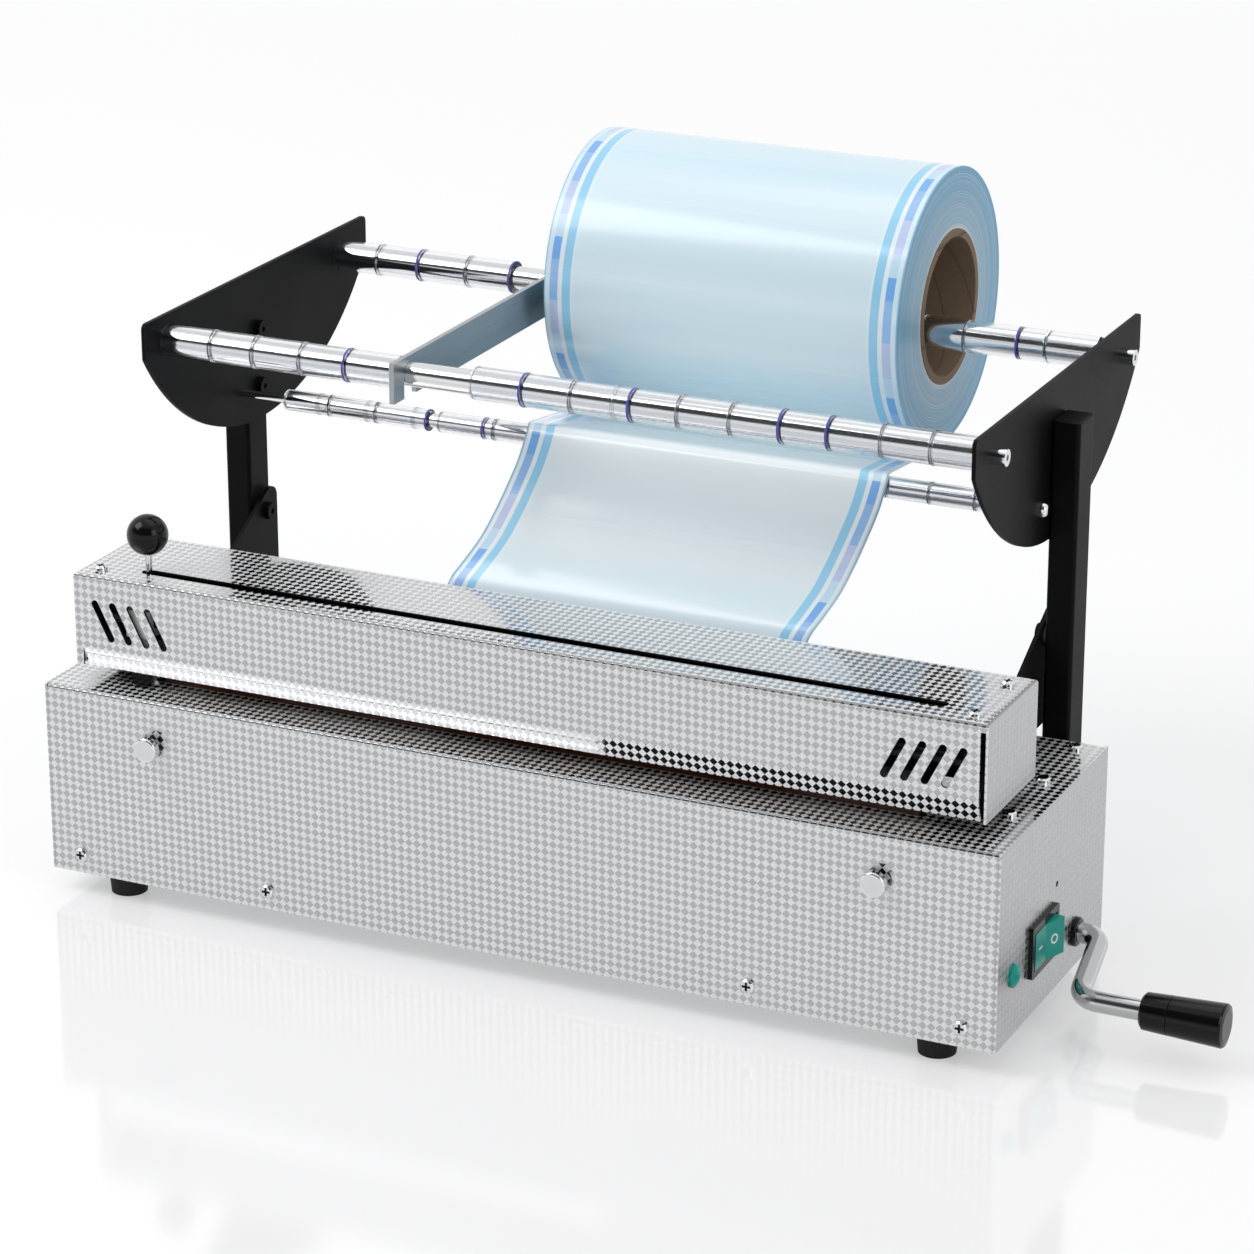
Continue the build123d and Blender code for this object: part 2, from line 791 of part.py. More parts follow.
def make_switch_bezel():
    """Frame and housing that the rocker tilts in."""
    half_y = bezel_length / 2
    half_z = bezel_height / 2
    frame = block(
        half_length,
        half_length + bezel_thickness,
        switch_y - half_y,
        switch_y + half_y,
        switch_z - half_z,
        switch_z + half_z,
    )
    frame = fillet(frame.edges().filter_by(Axis.X), 1.5)
    opening_y = switch_opening / 2
    opening_z = rocker_height / 2 + 0.3
    back = half_length - switch_body_depth
    frame += block(
        back,
        half_length,
        switch_y - opening_y - 0.5,
        switch_y + opening_y + 0.5,
        switch_z - opening_z - 0.6,
        switch_z + opening_z + 0.6,
    )
    frame -= block(
        back + 2,
        half_length + bezel_thickness + 1,
        switch_y - opening_y,
        switch_y + opening_y,
        switch_z - opening_z,
        switch_z + opening_z,
    )
    return frame - bar_z(switch_z - 20, switch_z + 20, pivot_x, switch_y, screw_radius + running_fit)


def make_switch_rocker():
    """Rocker with a shallow V face, tilted to its on side, on two small pins."""
    end_x = rocker_vertex + rocker_half * math.tan(math.radians(rocker_rest_angle))
    outline = Polyline(
        (-2, -rocker_half),
        (end_x, -rocker_half),
        (rocker_vertex, 0),
        (end_x, rocker_half),
        (-2, rocker_half),
        close=True,
    )
    rocker = extrude(make_face(outline), amount=rocker_height / 2, both=True)
    rocker += Cylinder(screw_radius, rocker_height + 1.6)
    return Pos(pivot_x, switch_y, switch_z) * Rot(0, 0, -rocker_rest_angle) * rocker


def make_pilot_lamp():
    """Domed lens with its barrel behind the panel."""
    rim_x = half_length + 1
    dome_radius = (lamp_radius**2 + lamp_dome**2) / (2 * lamp_dome)
    centre_x = rim_x + lamp_dome - dome_radius
    turn = math.asin(lamp_radius / dome_radius) / 2
    on_dome = (centre_x + dome_radius * math.cos(turn), dome_radius * math.sin(turn))
    back_x = half_length - 14
    outline = make_face(
        [
            Line((back_x, 0), (back_x, lamp_barrel_radius)),
            Line((back_x, lamp_barrel_radius), (half_length, lamp_barrel_radius)),
            Line((half_length, lamp_barrel_radius), (half_length, lamp_radius)),
            Line((half_length, lamp_radius), (rim_x, lamp_radius)),
            ThreePointArc((rim_x, lamp_radius), on_dome, (rim_x + lamp_dome, 0)),
            Line((rim_x + lamp_dome, 0), (back_x, 0)),
        ]
    )
    return Pos(0, lamp_y, lamp_z) * revolve(outline, axis=Axis.X)


def make_jaw_cover():
    """Folded cover with open corners, slanted vents, a cutter slot and a bent lip."""
    cover = folded_hood(jaw_half, jaw_front, jaw_back, jaw_bottom, jaw_top, False)
    wall_inner = jaw_half - sheet
    fold_bottom = jaw_top - 2 * bend_radius
    for side in (-1, 1):
        x0, x1 = sorted((side * (wall_inner - jaw_corner_gap), side * wall_inner))
        cover -= block(x0, x1, jaw_front - 1, jaw_front + sheet + 0.5, jaw_bottom - 1, fold_bottom)
        cover -= block(x0, x1, jaw_back - sheet - 0.5, jaw_back + 1, jaw_bottom - 1, fold_bottom)
        for count in range(vent_count):
            x = side * (vent_outer_x - count * vent_pitch)
            vent = Rot(0, 0, 90 - side * vent_lean) * SlotCenterToCenter(vent_length, vent_width)
            cutter = extrude(Plane.XZ * Pos(x, jaw_bottom + vent_rise) * vent, amount=10, both=True)
            cover -= Pos(0, jaw_front, 0) * cutter
    slot_middle = (slot_left + slot_right) / 2
    slot = Pos(slot_middle, cutter_y) * SlotOverall(slot_right - slot_left, slot_width)
    cover -= Pos(0, 0, jaw_top) * extrude(slot, amount=5, both=True)
    for side in (-1, 1):
        for y in cover_screw_y:
            cover -= bar_z(jaw_top - 5, jaw_top + 5, side * cover_screw_x, y, screw_hole_radius)
    flap_half = wall_inner - jaw_corner_gap
    lip_top = jaw_bottom + lip_height
    cover -= block(-flap_half, flap_half, jaw_front - 1, jaw_front + sheet + 0.5, jaw_bottom - 1, lip_top)
    lip = side_profile(
        [
            (jaw_front, lip_top),
            (jaw_front + lip_setback, jaw_bottom),
            (jaw_front + lip_setback + sheet, jaw_bottom),
            (jaw_front + sheet, lip_top),
        ]
    )
    return cover + extrude_x(lip, -flap_half, flap_half)


def make_jaw_brackets():
    """End brackets that stand in the gap and carry the beam, rail and cover."""
    front = jaw_front + sheet + 1
    outline = [
        (post_front, top_z),
        (bracket_back, top_z),
        (bracket_back, bracket_top),
        (front, bracket_top),
        (front, jaw_bottom + lip_height),
        (post_front, jaw_bottom + lip_height),
    ]
    one = extrude_x(side_profile(outline, [((front, bracket_top), 3)]), bracket_inner_x, bracket_outer_x)
    for y in cover_screw_y:
        one -= bar_z(bracket_top - 10, bracket_top + 1, cover_screw_x, y, screw_radius + running_fit)
    return group([one, mirrored(one)])


def make_upper_beam():
    """Angle section that the heater hangs from."""
    front = heater_y - heater_width / 2
    flange_front = beam_back - beam_thickness
    flange_top_z = beam_top + beam_flange
    beam = block(-bracket_inner_x, bracket_inner_x, front, beam_back, heater_top, beam_top)
    return beam + block(-bracket_inner_x, bracket_inner_x, flange_front, beam_back, heater_top, flange_top_z)


def make_heater_bar():
    half = heater_length / 2
    side = heater_width / 2
    bar = block(-half, half, heater_y - side, heater_y + side, heater_bottom, heater_top)
    bore_z = (heater_bottom + heater_top) / 2
    return bar - bar_x(-half - 1, half + 1, heater_y, bore_z, cartridge_radius + running_fit)


def make_cartridge_heater():
    bore_z = (heater_bottom + heater_top) / 2
    return bar_x(-heater_length / 2 + 2, heater_length / 2 + 4, heater_y, bore_z, cartridge_radius)


def make_ptfe_strip():
    half = heater_length / 2 + 2
    side = heater_width / 2 + 1
    return block(-half, half, heater_y - side, heater_y + side, strip_bottom, heater_bottom)


def make_thermostat():
    """Snap disc thermostat on the beam above the heater."""
    y = heater_y + thermostat_offset
    top = beam_top + thermostat_height
    body = bar_z(beam_top, top, 0, y, thermostat_radius)
    for side in (-1, 1):
        x = side * thermostat_radius / 2
        body += block(x - 1.5, x + 1.5, y - 0.4, y + 0.4, top, top + blade_terminal)
    return body


def make_cutter_rail():
    return bar_x(-bracket_inner_x, bracket_inner_x, rail_y, rail_z, rail_radius)


def make_cutter_carriage():
    """Sliding block on the rail with an arm down in front of the heater."""
    half = carriage_width / 2
    bottom = rail_z - carriage_height / 2
    body = block(cutter_x - half, cutter_x + half, rail_y - 7, rail_y + 9, bottom, bottom + carriage_height)
    body = fillet(body.edges().filter_by(Axis.Z), 1.5)
    body -= bar_x(cutter_x - half - 1, cutter_x + half + 1, rail_y, rail_z, rail_radius + running_fit)
    body -= bar_z(bottom + 3, bottom + carriage_height + 1, cutter_x, cutter_y, stem_radius + running_fit)
    arm_half = shoe_width / 2
    arm_front = rail_y - 5.5
    return body + block(cutter_x - arm_half, cutter_x + arm_half, arm_front, rail_y, jaw_bottom + 1, bottom)


def make_cutter_shoe():
    """White foot that runs on the table and holds the blade."""
    half = shoe_width / 2
    shoe_bottom = top_z + 2 * soft_gap
    shoe = block(cutter_x - half, cutter_x + half, rail_y - 6, rail_y + 0.5, shoe_bottom, jaw_bottom + 1)
    shoe = chamfer(shoe.edges().filter_by(Axis.Y).group_by(Axis.Z)[0], 1.2)
    blade_y = rail_y - 2.5
    thick = blade_thickness / 2 + running_fit
    slot_end = cutter_x + half + 1
    return shoe - block(cutter_x - 2, slot_end, blade_y - thick, blade_y + thick, top_z, jaw_bottom - 1)


def make_cutter_blade():
    """Thin blade with a slanted edge ahead of the shoe."""
    half = shoe_width / 2
    outline = Polyline(
        (cutter_x - 2 + seam, top_z + 3 * soft_gap),
        (cutter_x + half + blade_reach, top_z + 3 * soft_gap),
        (cutter_x + half, jaw_bottom - 1 - seam),
        (cutter_x - 2 + seam, jaw_bottom - 1 - seam),
        close=True,
    )
    blade = extrude(Plane.XZ * make_face(outline), amount=blade_thickness / 2, both=True)
    return Pos(0, rail_y - 2.5, 0) * blade


def make_cutter_stem():
    bottom = rail_z - carriage_height / 2 + 3
    return bar_z(bottom, knob_z - 3, cutter_x, cutter_y, stem_radius)


def make_cutter_knob():
    """Ball knob on the stem, with a small flat collar below."""
    ball = Pos(cutter_x, cutter_y, knob_z) * Sphere(knob_radius)
    ball -= block(
        cutter_x - 20, cutter_x + 20, cutter_y - 20, cutter_y + 20, knob_z - 20, knob_z - knob_radius * 0.96
    )
    return ball - bar_z(knob_z - 20, knob_z - 3, cutter_x, cutter_y, stem_radius)


def make_cover_screws():
    places = [(side * cover_screw_x, y) for side in (-1, 1) for y in cover_screw_y]
    return group(Pos(x, y, jaw_top) * pan_screw(cover_screw_length) for x, y in places)


def make_upright():
    """Closed rectangular tube that stands behind the base."""
    outer = block(
        plate_outer_x,
        plate_outer_x + upright_width,
        upright_front,
        upright_front + upright_depth,
        upright_bottom,
        upright_top,
    )
    outer = fillet(outer.edges().filter_by(Axis.Z), 2)
    outer = fillet(outer.faces().sort_by(Axis.Z)[-1].edges(), 1)
    tube = outer - block(
        plate_outer_x + upright_wall,
        plate_outer_x + upright_width - upright_wall,
        upright_front + upright_wall,
        upright_front + upright_depth - upright_wall,
        upright_bottom - 1,
        upright_top - upright_wall,
    )
    for z in upright_bolt_z:
        tube -= bar_y(upright_front - 1, upright_front + upright_depth + 1, upright_x, z, bolt_hole_radius)
    for z in (*plate_bolt_z, gusset_bolt_z):
        tube -= bar_x(plate_outer_x - 1, plate_outer_x + upright_wall + 1, upright_y, z, bolt_hole_radius)
    return tube


def make_upright_spacers():
    """Washers that hold the uprights off the back and the gussets off the uprights."""
    spacers = []
    for side in (-1, 1):
        for z in upright_bolt_z:
            ring = bar_y(half_depth, upright_front, side * upright_x, z, spacer_radius)
            hole = bar_y(half_depth - 1, upright_front + 1, side * upright_x, z, bolt_hole_radius)
            spacers.append(ring - hole)
        x0, x1 = sorted((side * plate_inner_x, side * plate_outer_x))
        spacers.append(tube_x(x0, x1, upright_y, gusset_bolt_z, spacer_radius, bolt_hole_radius))
    return group(spacers)


def make_upright_bolts():
    """Long bolts through the uprights into the back of the base."""
    back = upright_front + upright_depth
    bolt = cap_bolt(bolt_head_radius, bolt_head_height, bolt_radius, back - half_depth + 6)
    return group(
        Pos(side * upright_x, back, z) * facing_back * bolt for side in (-1, 1) for z in upright_bolt_z
    )


def make_gusset():
    """Slanted stay with a foot on the base top."""
    back = upright_front + upright_depth
    nose_z = gusset_top - (back - gusset_nose_y) * math.tan(math.radians(gusset_slope))
    outline = [(back, top_z), (back, gusset_top), (gusset_nose_y, nose_z), (gusset_nose_y, top_z)]
    rounded = [((back, gusset_top), 6), ((gusset_nose_y, nose_z), 4)]
    x1 = plate_inner_x
    x0 = x1 - plate_thickness
    stay = extrude_x(side_profile(outline, rounded), x0, x1)
    stay -= block(x0 - 1, x1 + 1, half_depth, back + 1, top_z - 1, top_z + 2)
    foot_top = top_z + plate_thickness
    stay += block(x0 - gusset_foot_width, x0, gusset_nose_y + 6, half_depth - 6, top_z, foot_top)
    return stay - bar_x(x0 - 1, x1 + 1, upright_y, gusset_bolt_z, bolt_hole_radius)


def make_side_plate():
    """Black end plate: straight top, short upright ends and two round sweeps below."""
    front_sweep = plate_bottom_y - plate_front
    back_sweep = plate_back - plate_bottom_y
    drop = plate_shoulder - plate_bottom
    front_arc_radius = (front_sweep**2 + drop**2) / (2 * drop)
    back_arc_radius = (back_sweep**2 + drop**2) / (2 * drop)
    front_turn = math.asin(front_sweep / front_arc_radius) / 2
    back_turn = math.asin(back_sweep / back_arc_radius) / 2
    bottom = (plate_bottom_y, plate_bottom)
    front_middle = (
        plate_bottom_y - front_arc_radius * math.sin(front_turn),
        plate_bottom + front_arc_radius * (1 - math.cos(front_turn)),
    )
    back_middle = (
        plate_bottom_y + back_arc_radius * math.sin(back_turn),
        plate_bottom + back_arc_radius * (1 - math.cos(back_turn)),
    )
    outline = [
        Line((plate_front, plate_top), (plate_front, plate_shoulder)),
        ThreePointArc((plate_front, plate_shoulder), front_middle, bottom),
        ThreePointArc(bottom, back_middle, (plate_back, plate_shoulder)),
        Line((plate_back, plate_shoulder), (plate_back, plate_top)),
        Line((plate_back, plate_top), (plate_front, plate_top)),
    ]
    face = make_face([Plane.YZ * line for line in outline])
    for y in (plate_front, plate_back):
        face = fillet(face.vertices().sort_by_distance((0, y, plate_top))[0], plate_corner)
    plate = extrude_x(face, plate_inner_x, plate_outer_x)
    for y, z, radius in (
        (front_rod_y, front_rod_z, bolt_hole_radius),
        (rear_rod_y, rear_rod_z, bolt_hole_radius),
        (lower_rod_y, lower_rod_z, lower_screw_radius + seam),
        (upright_y, plate_bolt_z[0], bolt_hole_radius),
        (upright_y, plate_bolt_z[1], bolt_hole_radius),
    ):
        plate -= bar_x(plate_inner_x - 1, plate_outer_x + 1, y, z, radius)
    return plate


def make_frame_bolts():
    """Bolts that hold the side plates and the gussets to the uprights."""
    length = plate_thickness + upright_wall + 3
    plate_bolt = cap_bolt(bolt_head_radius, bolt_head_height, bolt_radius, length)
    gusset_bolt = cap_bolt(bolt_head_radius, bolt_head_height, bolt_radius, length + plate_thickness)
    bolts = []
    for side, facing in ((1, facing_left), (-1, facing_right)):
        for z in plate_bolt_z:
            bolts.append(Pos(side * plate_inner_x, upright_y, z) * facing * plate_bolt)
        gusset_face = side * (plate_inner_x - plate_thickness)
        bolts.append(Pos(gusset_face, upright_y, gusset_bolt_z) * facing * gusset_bolt)
    return group(bolts)


def make_rod(y, z):
    """Hollow rod between the side plates."""
    return tube_x(-plate_inner_x, plate_inner_x, y, z, rod_radius, bolt_hole_radius)


def make_lower_rod():
    """Stepped rod: bare and thin at the left, thicker under its sleeves."""
    rod = bar_x(-plate_inner_x, lower_sleeve_start, lower_rod_y, lower_rod_z, lower_rod_thin_radius)
    rod += bar_x(lower_sleeve_start, plate_inner_x, lower_rod_y, lower_rod_z, lower_rod_radius)
    return rod - bar_x(
        -plate_inner_x - 1, plate_inner_x + 1, lower_rod_y, lower_rod_z, lower_screw_radius + running_fit
    )


def make_rod_screws():
    """Tall socket screws in the two upper rods and low domes in the lower one."""
    tall = cap_bolt(rod_head_radius, rod_head_height, bolt_radius, plate_thickness + 12)
    dome = Cylinder(rod_head_radius, dome_head_height, align=(Align.CENTER, Align.CENTER, Align.MIN))
    dome = fillet(dome.edges().group_by(Axis.Z)[-1], dome_head_height * 0.8)
    dome += Cylinder(lower_screw_radius, plate_thickness + 10, align=(Align.CENTER, Align.CENTER, Align.MAX))
    screws = []
    for side, facing in ((1, facing_right), (-1, facing_left)):
        screws.append(Pos(side * plate_outer_x, front_rod_y, front_rod_z) * facing * tall)
        screws.append(Pos(side * plate_outer_x, rear_rod_y, rear_rod_z) * facing * tall)
        screws.append(Pos(side * plate_outer_x, lower_rod_y, lower_rod_z) * facing * dome)
    return group(screws)


def sleeve_row(x0, x1, count, y, z, radius, inner_radius):
    """Row of clear sleeves that turn on a rod."""
    length = (x1 - x0) / count
    bore = inner_radius + sleeve_bore_gap
    starts = [x0 + length * index for index in range(count)]
    return group(tube_x(start, start + length - sleeve_gap, y, z, radius, bore) for start in starts)


def make_roll_guide():
    """Flat side guide that hooks over both upper rods, with a leg in front."""
    top = front_rod_z + rod_radius + guide_notch_clearance + guide_cover
    bottom = top - guide_height
    plate = block(
        guide_x - guide_thickness / 2, guide_x + guide_thickness / 2, guide_front, guide_back, bottom, top
    )
    for y, z in ((front_rod_y, front_rod_z), (rear_rod_y, rear_rod_z)):
        radius = rod_radius + guide_notch_clearance
        plate -= bar_x(guide_x - 5, guide_x + 5, y, z, radius)
        plate -= block(guide_x - 5, guide_x + 5, y - radius, y + radius, bottom - 1, z)
    return plate


def make_roll_core():
    return tube_x(
        roll_left - core_proud, roll_right + core_proud, roll_centre_y, roll_centre_z, core_radius, core_bore
    )


def make_film_roll():
    roll = bar_x(roll_left, roll_right, roll_centre_y, roll_centre_z, roll_radius)
    roll = fillet(roll.edges().filter_by(GeomType.CIRCLE), 1)
    return roll - bar_x(roll_left - 1, roll_right + 1, roll_centre_y, roll_centre_z, core_radius)


def crossing_tangent(first, first_radius, second, second_radius, way):
    """Angle of the normal of a line that passes between two circles."""
    reach = math.dist(first, second)
    toward = math.atan2(second[1] - first[1], second[0] - first[0])
    return toward + way * math.acos((first_radius + second_radius) / reach)


def on_circle(centre, radius, angle):
    return (centre[0] + radius * math.cos(angle), centre[1] + radius * math.sin(angle))


def web_side(shift):
    """One face of the web in the YZ plane, moved off its middle by a shift."""
    roll = (roll_centre_y, roll_centre_z)
    rod = (lower_rod_y, lower_rod_z)
    table = top_z + soft_gap + web_thickness / 2
    bend = (web_bend_y, table + web_bend_radius)
    roll_offset = roll_radius + soft_gap + web_thickness / 2 - shift
    rod_offset = lower_sleeve_radius + soft_gap + web_thickness / 2 + shift
    bend_offset = web_bend_radius - shift
    off_roll = crossing_tangent(roll, roll_offset, rod, rod_offset, 1)
    off_rod = crossing_tangent(rod, rod_offset, bend, bend_offset, -1)
    start = on_circle(roll, roll_offset, off_roll)
    onto_rod = on_circle(rod, rod_offset, off_roll + math.pi)
    rod_top = math.degrees(off_roll + math.pi)
    leave_rod = on_circle(rod, rod_offset, off_rod)
    rod_wrap = (math.degrees(off_rod) - rod_top) % 360
    into_bend = on_circle(bend, bend_offset, off_rod + math.pi)
    bend_start = math.degrees(off_rod + math.pi) % 360
    out_of_bend = (bend[0], bend[1] - bend_offset)
    end = (web_end_y, out_of_bend[1])
    lines = [
        Line(start, onto_rod),
        CenterArc(rod, rod_offset, rod_top, rod_wrap),
        Line(leave_rod, into_bend),
        CenterArc(bend, bend_offset, bend_start, 270 - bend_start),
        Line(out_of_bend, end),
    ]
    return lines, start, end


def make_pouch_web():
    """Film from under the roll, over the lower rod and down into the jaw gap."""
    upper, upper_start, upper_end = web_side(web_thickness / 2)
    lower, lower_start, lower_end = web_side(-web_thickness / 2)
    edges = [*upper, *lower, Line(upper_start, lower_start), Line(upper_end, lower_end)]
    strip = extrude(make_face([Plane.YZ * edge for edge in edges]), amount=half_length, both=True)
    plan = Polyline(
        (web_gap_left, web_end_y - 5),
        (web_gap_right, web_end_y - 5),
        (web_gap_right, web_bend_y),
        (web_rod_right, lower_rod_y),
        (roll_right, roll_centre_y),
        (roll_left, roll_centre_y),
        (web_rod_left, lower_rod_y),
        (web_gap_left, web_bend_y),
        close=True,
    )
    return strip & extrude(make_face(plan), amount=roll_centre_z)


def make_pieces():
    """Every piece by its name."""
    upright = make_upright()
    gusset = make_gusset()
    plate = make_side_plate()
    left = -plate_inner_x + sleeve_gap
    front = (front_rod_y, front_rod_z, sleeve_radius, rod_radius)
    rear = (rear_rod_y, rear_rod_z, sleeve_radius, rod_radius)
    lower = (lower_rod_y, lower_rod_z, lower_sleeve_radius, lower_rod_radius)
    return {
        "base_cover": make_base_cover(),
        "side_panel_left": make_side_panel(),
        "side_panel_right": make_control_panel(),
        "bottom_plate": make_bottom_plate(),
        "feet": make_feet(),
        "base_screws": make_base_screws(),
        "top_screws": make_top_screws(),
        "stud_caps": make_stud_caps(),
        "stud_necks": make_stud_necks(),
        "crank_bush": make_crank_bush(),
        "crank_rod": make_crank(),
        "crank_grip": make_crank_grip(),
        "lift_cams": make_lift_cams(),
        "bearing_blocks": make_bearing_blocks(),
        "press_bar": make_press_bar(),
        "silicone_pad": make_silicone_pad(),
        "guide_pins": make_guide_pins(),
        "return_springs": make_return_springs(),
        "terminal_block": make_terminal_block(),
        "power_inlet": make_power_inlet(),
        "switch_bezel": make_switch_bezel(),
        "switch_rocker": make_switch_rocker(),
        "pilot_lamp": make_pilot_lamp(),
        "jaw_cover": make_jaw_cover(),
        "jaw_brackets": make_jaw_brackets(),
        "upper_beam": make_upper_beam(),
        "heater_bar": make_heater_bar(),
        "cartridge_heater": make_cartridge_heater(),
        "ptfe_strip": make_ptfe_strip(),
        "thermostat": make_thermostat(),
        "cutter_rail": make_cutter_rail(),
        "cutter_carriage": make_cutter_carriage(),
        "cutter_shoe": make_cutter_shoe(),
        "cutter_blade": make_cutter_blade(),
        "cutter_stem": make_cutter_stem(),
        "cutter_knob": make_cutter_knob(),
        "cover_screws": make_cover_screws(),
        "upright_left": mirrored(upright),
        "upright_right": upright,
        "upright_spacers": make_upright_spacers(),
        "upright_bolts": make_upright_bolts(),
        "gusset_left": mirrored(gusset),
        "gusset_right": gusset,
        "side_plate_left": mirrored(plate),
        "side_plate_right": plate,
        "frame_bolts": make_frame_bolts(),
        "front_rod": make_rod(front_rod_y, front_rod_z),
        "rear_rod": make_rod(rear_rod_y, rear_rod_z),
        "lower_rod": make_lower_rod(),
        "rod_screws": make_rod_screws(),
        "front_sleeves_left": sleeve_row(left, front_left_end, 5, *front),
        "front_sleeves_right": sleeve_row(front_right_start, front_right_end, 10, *front),
        "rear_sleeves_left": sleeve_row(left, rear_left_end, 4, *rear),
        "rear_sleeves_right": sleeve_row(rear_right_start, rear_right_end, 10, *rear),
        "lower_sleeves": sleeve_row(lower_sleeve_start, lower_sleeve_end, 15, *lower),
        "roll_guide": make_roll_guide(),
        "roll_core": make_roll_core(),
        "film_roll": make_film_roll(),
        "pouch_web": make_pouch_web(),
    }


pieces = make_pieces()
x_low = -half_length
x_high = grip_end_x
y_low = -half_depth - stud_neck_height - stud_height
y_high = roll_centre_y + roll_radius
to_row_origin = Pos(-(x_low + x_high) / 2, -(y_low + y_high) / 2, 0)
os.makedirs("parts", exist_ok=True)
for name, piece in pieces.items():
    export_step(to_row_origin * piece, f"parts/{name}.step")
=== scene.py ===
import json
import math
import random

import bmesh
import bpy
from mathutils import Matrix, Vector


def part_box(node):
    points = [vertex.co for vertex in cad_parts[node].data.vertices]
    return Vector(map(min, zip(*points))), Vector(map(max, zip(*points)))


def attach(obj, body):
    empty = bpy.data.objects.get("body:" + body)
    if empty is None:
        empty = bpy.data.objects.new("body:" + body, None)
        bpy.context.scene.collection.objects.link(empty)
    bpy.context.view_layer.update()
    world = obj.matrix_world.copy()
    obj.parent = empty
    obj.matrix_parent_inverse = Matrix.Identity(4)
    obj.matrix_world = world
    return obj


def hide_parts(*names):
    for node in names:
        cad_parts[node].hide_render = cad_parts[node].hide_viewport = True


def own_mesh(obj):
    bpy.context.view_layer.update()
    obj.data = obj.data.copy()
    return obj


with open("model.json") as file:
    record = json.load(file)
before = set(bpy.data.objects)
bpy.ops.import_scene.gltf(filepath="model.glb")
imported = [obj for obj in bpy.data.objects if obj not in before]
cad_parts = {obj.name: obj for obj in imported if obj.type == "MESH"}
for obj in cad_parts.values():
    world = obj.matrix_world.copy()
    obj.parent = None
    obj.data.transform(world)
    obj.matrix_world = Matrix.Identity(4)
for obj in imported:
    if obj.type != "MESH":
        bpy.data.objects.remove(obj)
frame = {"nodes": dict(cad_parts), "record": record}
bpy.context.scene.view_settings.view_transform = "Standard"
nodes = frame["nodes"]
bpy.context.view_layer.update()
cover_low, cover_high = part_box("base_cover")
centre_x = (cover_low[0] + cover_high[0]) / 2
centre_y = (cover_low[1] + cover_high[1]) / 2


def at(x, y, z):
    """Row frame point, in metres, from millimetres counted from the middle of the base."""
    return Vector((centre_x + x / 1000, centre_y + y / 1000, z / 1000))


# Camera, solved from the photo

photo_pixels = 1254
focal_pixels = 4379.47
sensor_width = 36


def make_camera():
    """The camera; yaw, pitch and roll are in radians."""
    yaw = 0.43998
    pitch = 0.35739
    roll = -0.0010
    forward = Vector(
        (-math.sin(yaw) * math.cos(pitch), math.cos(yaw) * math.cos(pitch), -math.sin(pitch))
    )
    right = Vector((math.cos(yaw), math.sin(yaw), 0))
    up = right.cross(forward)
    side = right * math.cos(roll) + up * math.sin(roll)
    top = up * math.cos(roll) - right * math.sin(roll)
    data = bpy.data.cameras.new("photo_camera")
    data.sensor_width = sensor_width
    data.lens = focal_pixels / photo_pixels * sensor_width
    data.clip_end = 50
    camera = bpy.data.objects.new("photo_camera", data)
    bpy.context.scene.collection.objects.link(camera)
    place = at(861.968, -1762.742, 887.456)
    camera.matrix_world = Matrix(
        (
            (side.x, top.x, -forward.x, place.x),
            (side.y, top.y, -forward.y, place.y),
            (side.z, top.z, -forward.z, place.z),
            (0, 0, 0, 1),
        )
    )
    bpy.context.scene.camera = camera


make_camera()


# Node helpers


def add(tree, kind, **values):
    """A shader node; attributes by name, inputs by name with spaces as underscores."""
    made = tree.nodes.new("ShaderNode" + kind)
    for key, value in values.items():
        if hasattr(made, key):
            setattr(made, key, value)
            continue
        socket = made.inputs[key.replace("_", " ")]
        if isinstance(value, bpy.types.NodeSocket):
            tree.links.new(value, socket)
        else:
            socket.default_value = value
    return made


def calc(tree, operation, *inputs):
    """A Math node's result."""
    made = tree.nodes.new("ShaderNodeMath")
    made.operation = operation
    for index, value in enumerate(inputs):
        if isinstance(value, bpy.types.NodeSocket):
            tree.links.new(value, made.inputs[index])
        else:
            made.inputs[index].default_value = value
    return made.outputs[0]


def mix(tree, factor, first, second):
    """A colour between two colours."""
    made = tree.nodes.new("ShaderNodeMix")
    made.data_type = "RGBA"
    wanted = ((made.inputs[0], factor), (made.inputs[6], first), (made.inputs[7], second))
    for socket, value in wanted:
        if isinstance(value, bpy.types.NodeSocket):
            tree.links.new(value, socket)
        elif socket is made.inputs[0]:
            socket.default_value = value
        else:
            socket.default_value = (*value, 1)
    return made.outputs[2]


def spread(tree, value, low, high, to_low=0.0, to_high=1.0):
    """A value moved from one range into another, held at the ends."""
    made = add(tree, "MapRange", Value=value)
    for index, number in enumerate((low, high, to_low, to_high), 1):
        made.inputs[index].default_value = number
    return made.outputs[0]


def noise(tree, where, scale, detail=2.0, rough=0.5, stretch=None):
    """A noise value, with the pattern drawn out along an axis where stretch says."""
    if stretch:
        where = add(tree, "Mapping", Vector=where, Scale=stretch).outputs[0]
    return add(tree, "TexNoise", Vector=where, Scale=scale, Detail=detail, Roughness=rough).outputs[0]


def new_material(name, **values):
    """A material with its surface shader's own sockets set."""
    made = bpy.data.materials.new(name)
    made.use_nodes = True
    tree = made.node_tree
    shader = tree.nodes["Principled BSDF"]
    for key, value in values.items():
        shader.inputs[key.replace("_", " ")].default_value = value
    where = add(tree, "TexCoord").outputs["Object"]
    return made, tree, shader, where


def bump(tree, shader, height, distance, strength=1.0):
    """Relief from a height value."""
    made = add(tree, "Bump", Height=height, Distance=distance, Strength=strength)
    tree.links.new(made.outputs[0], shader.inputs["Normal"])


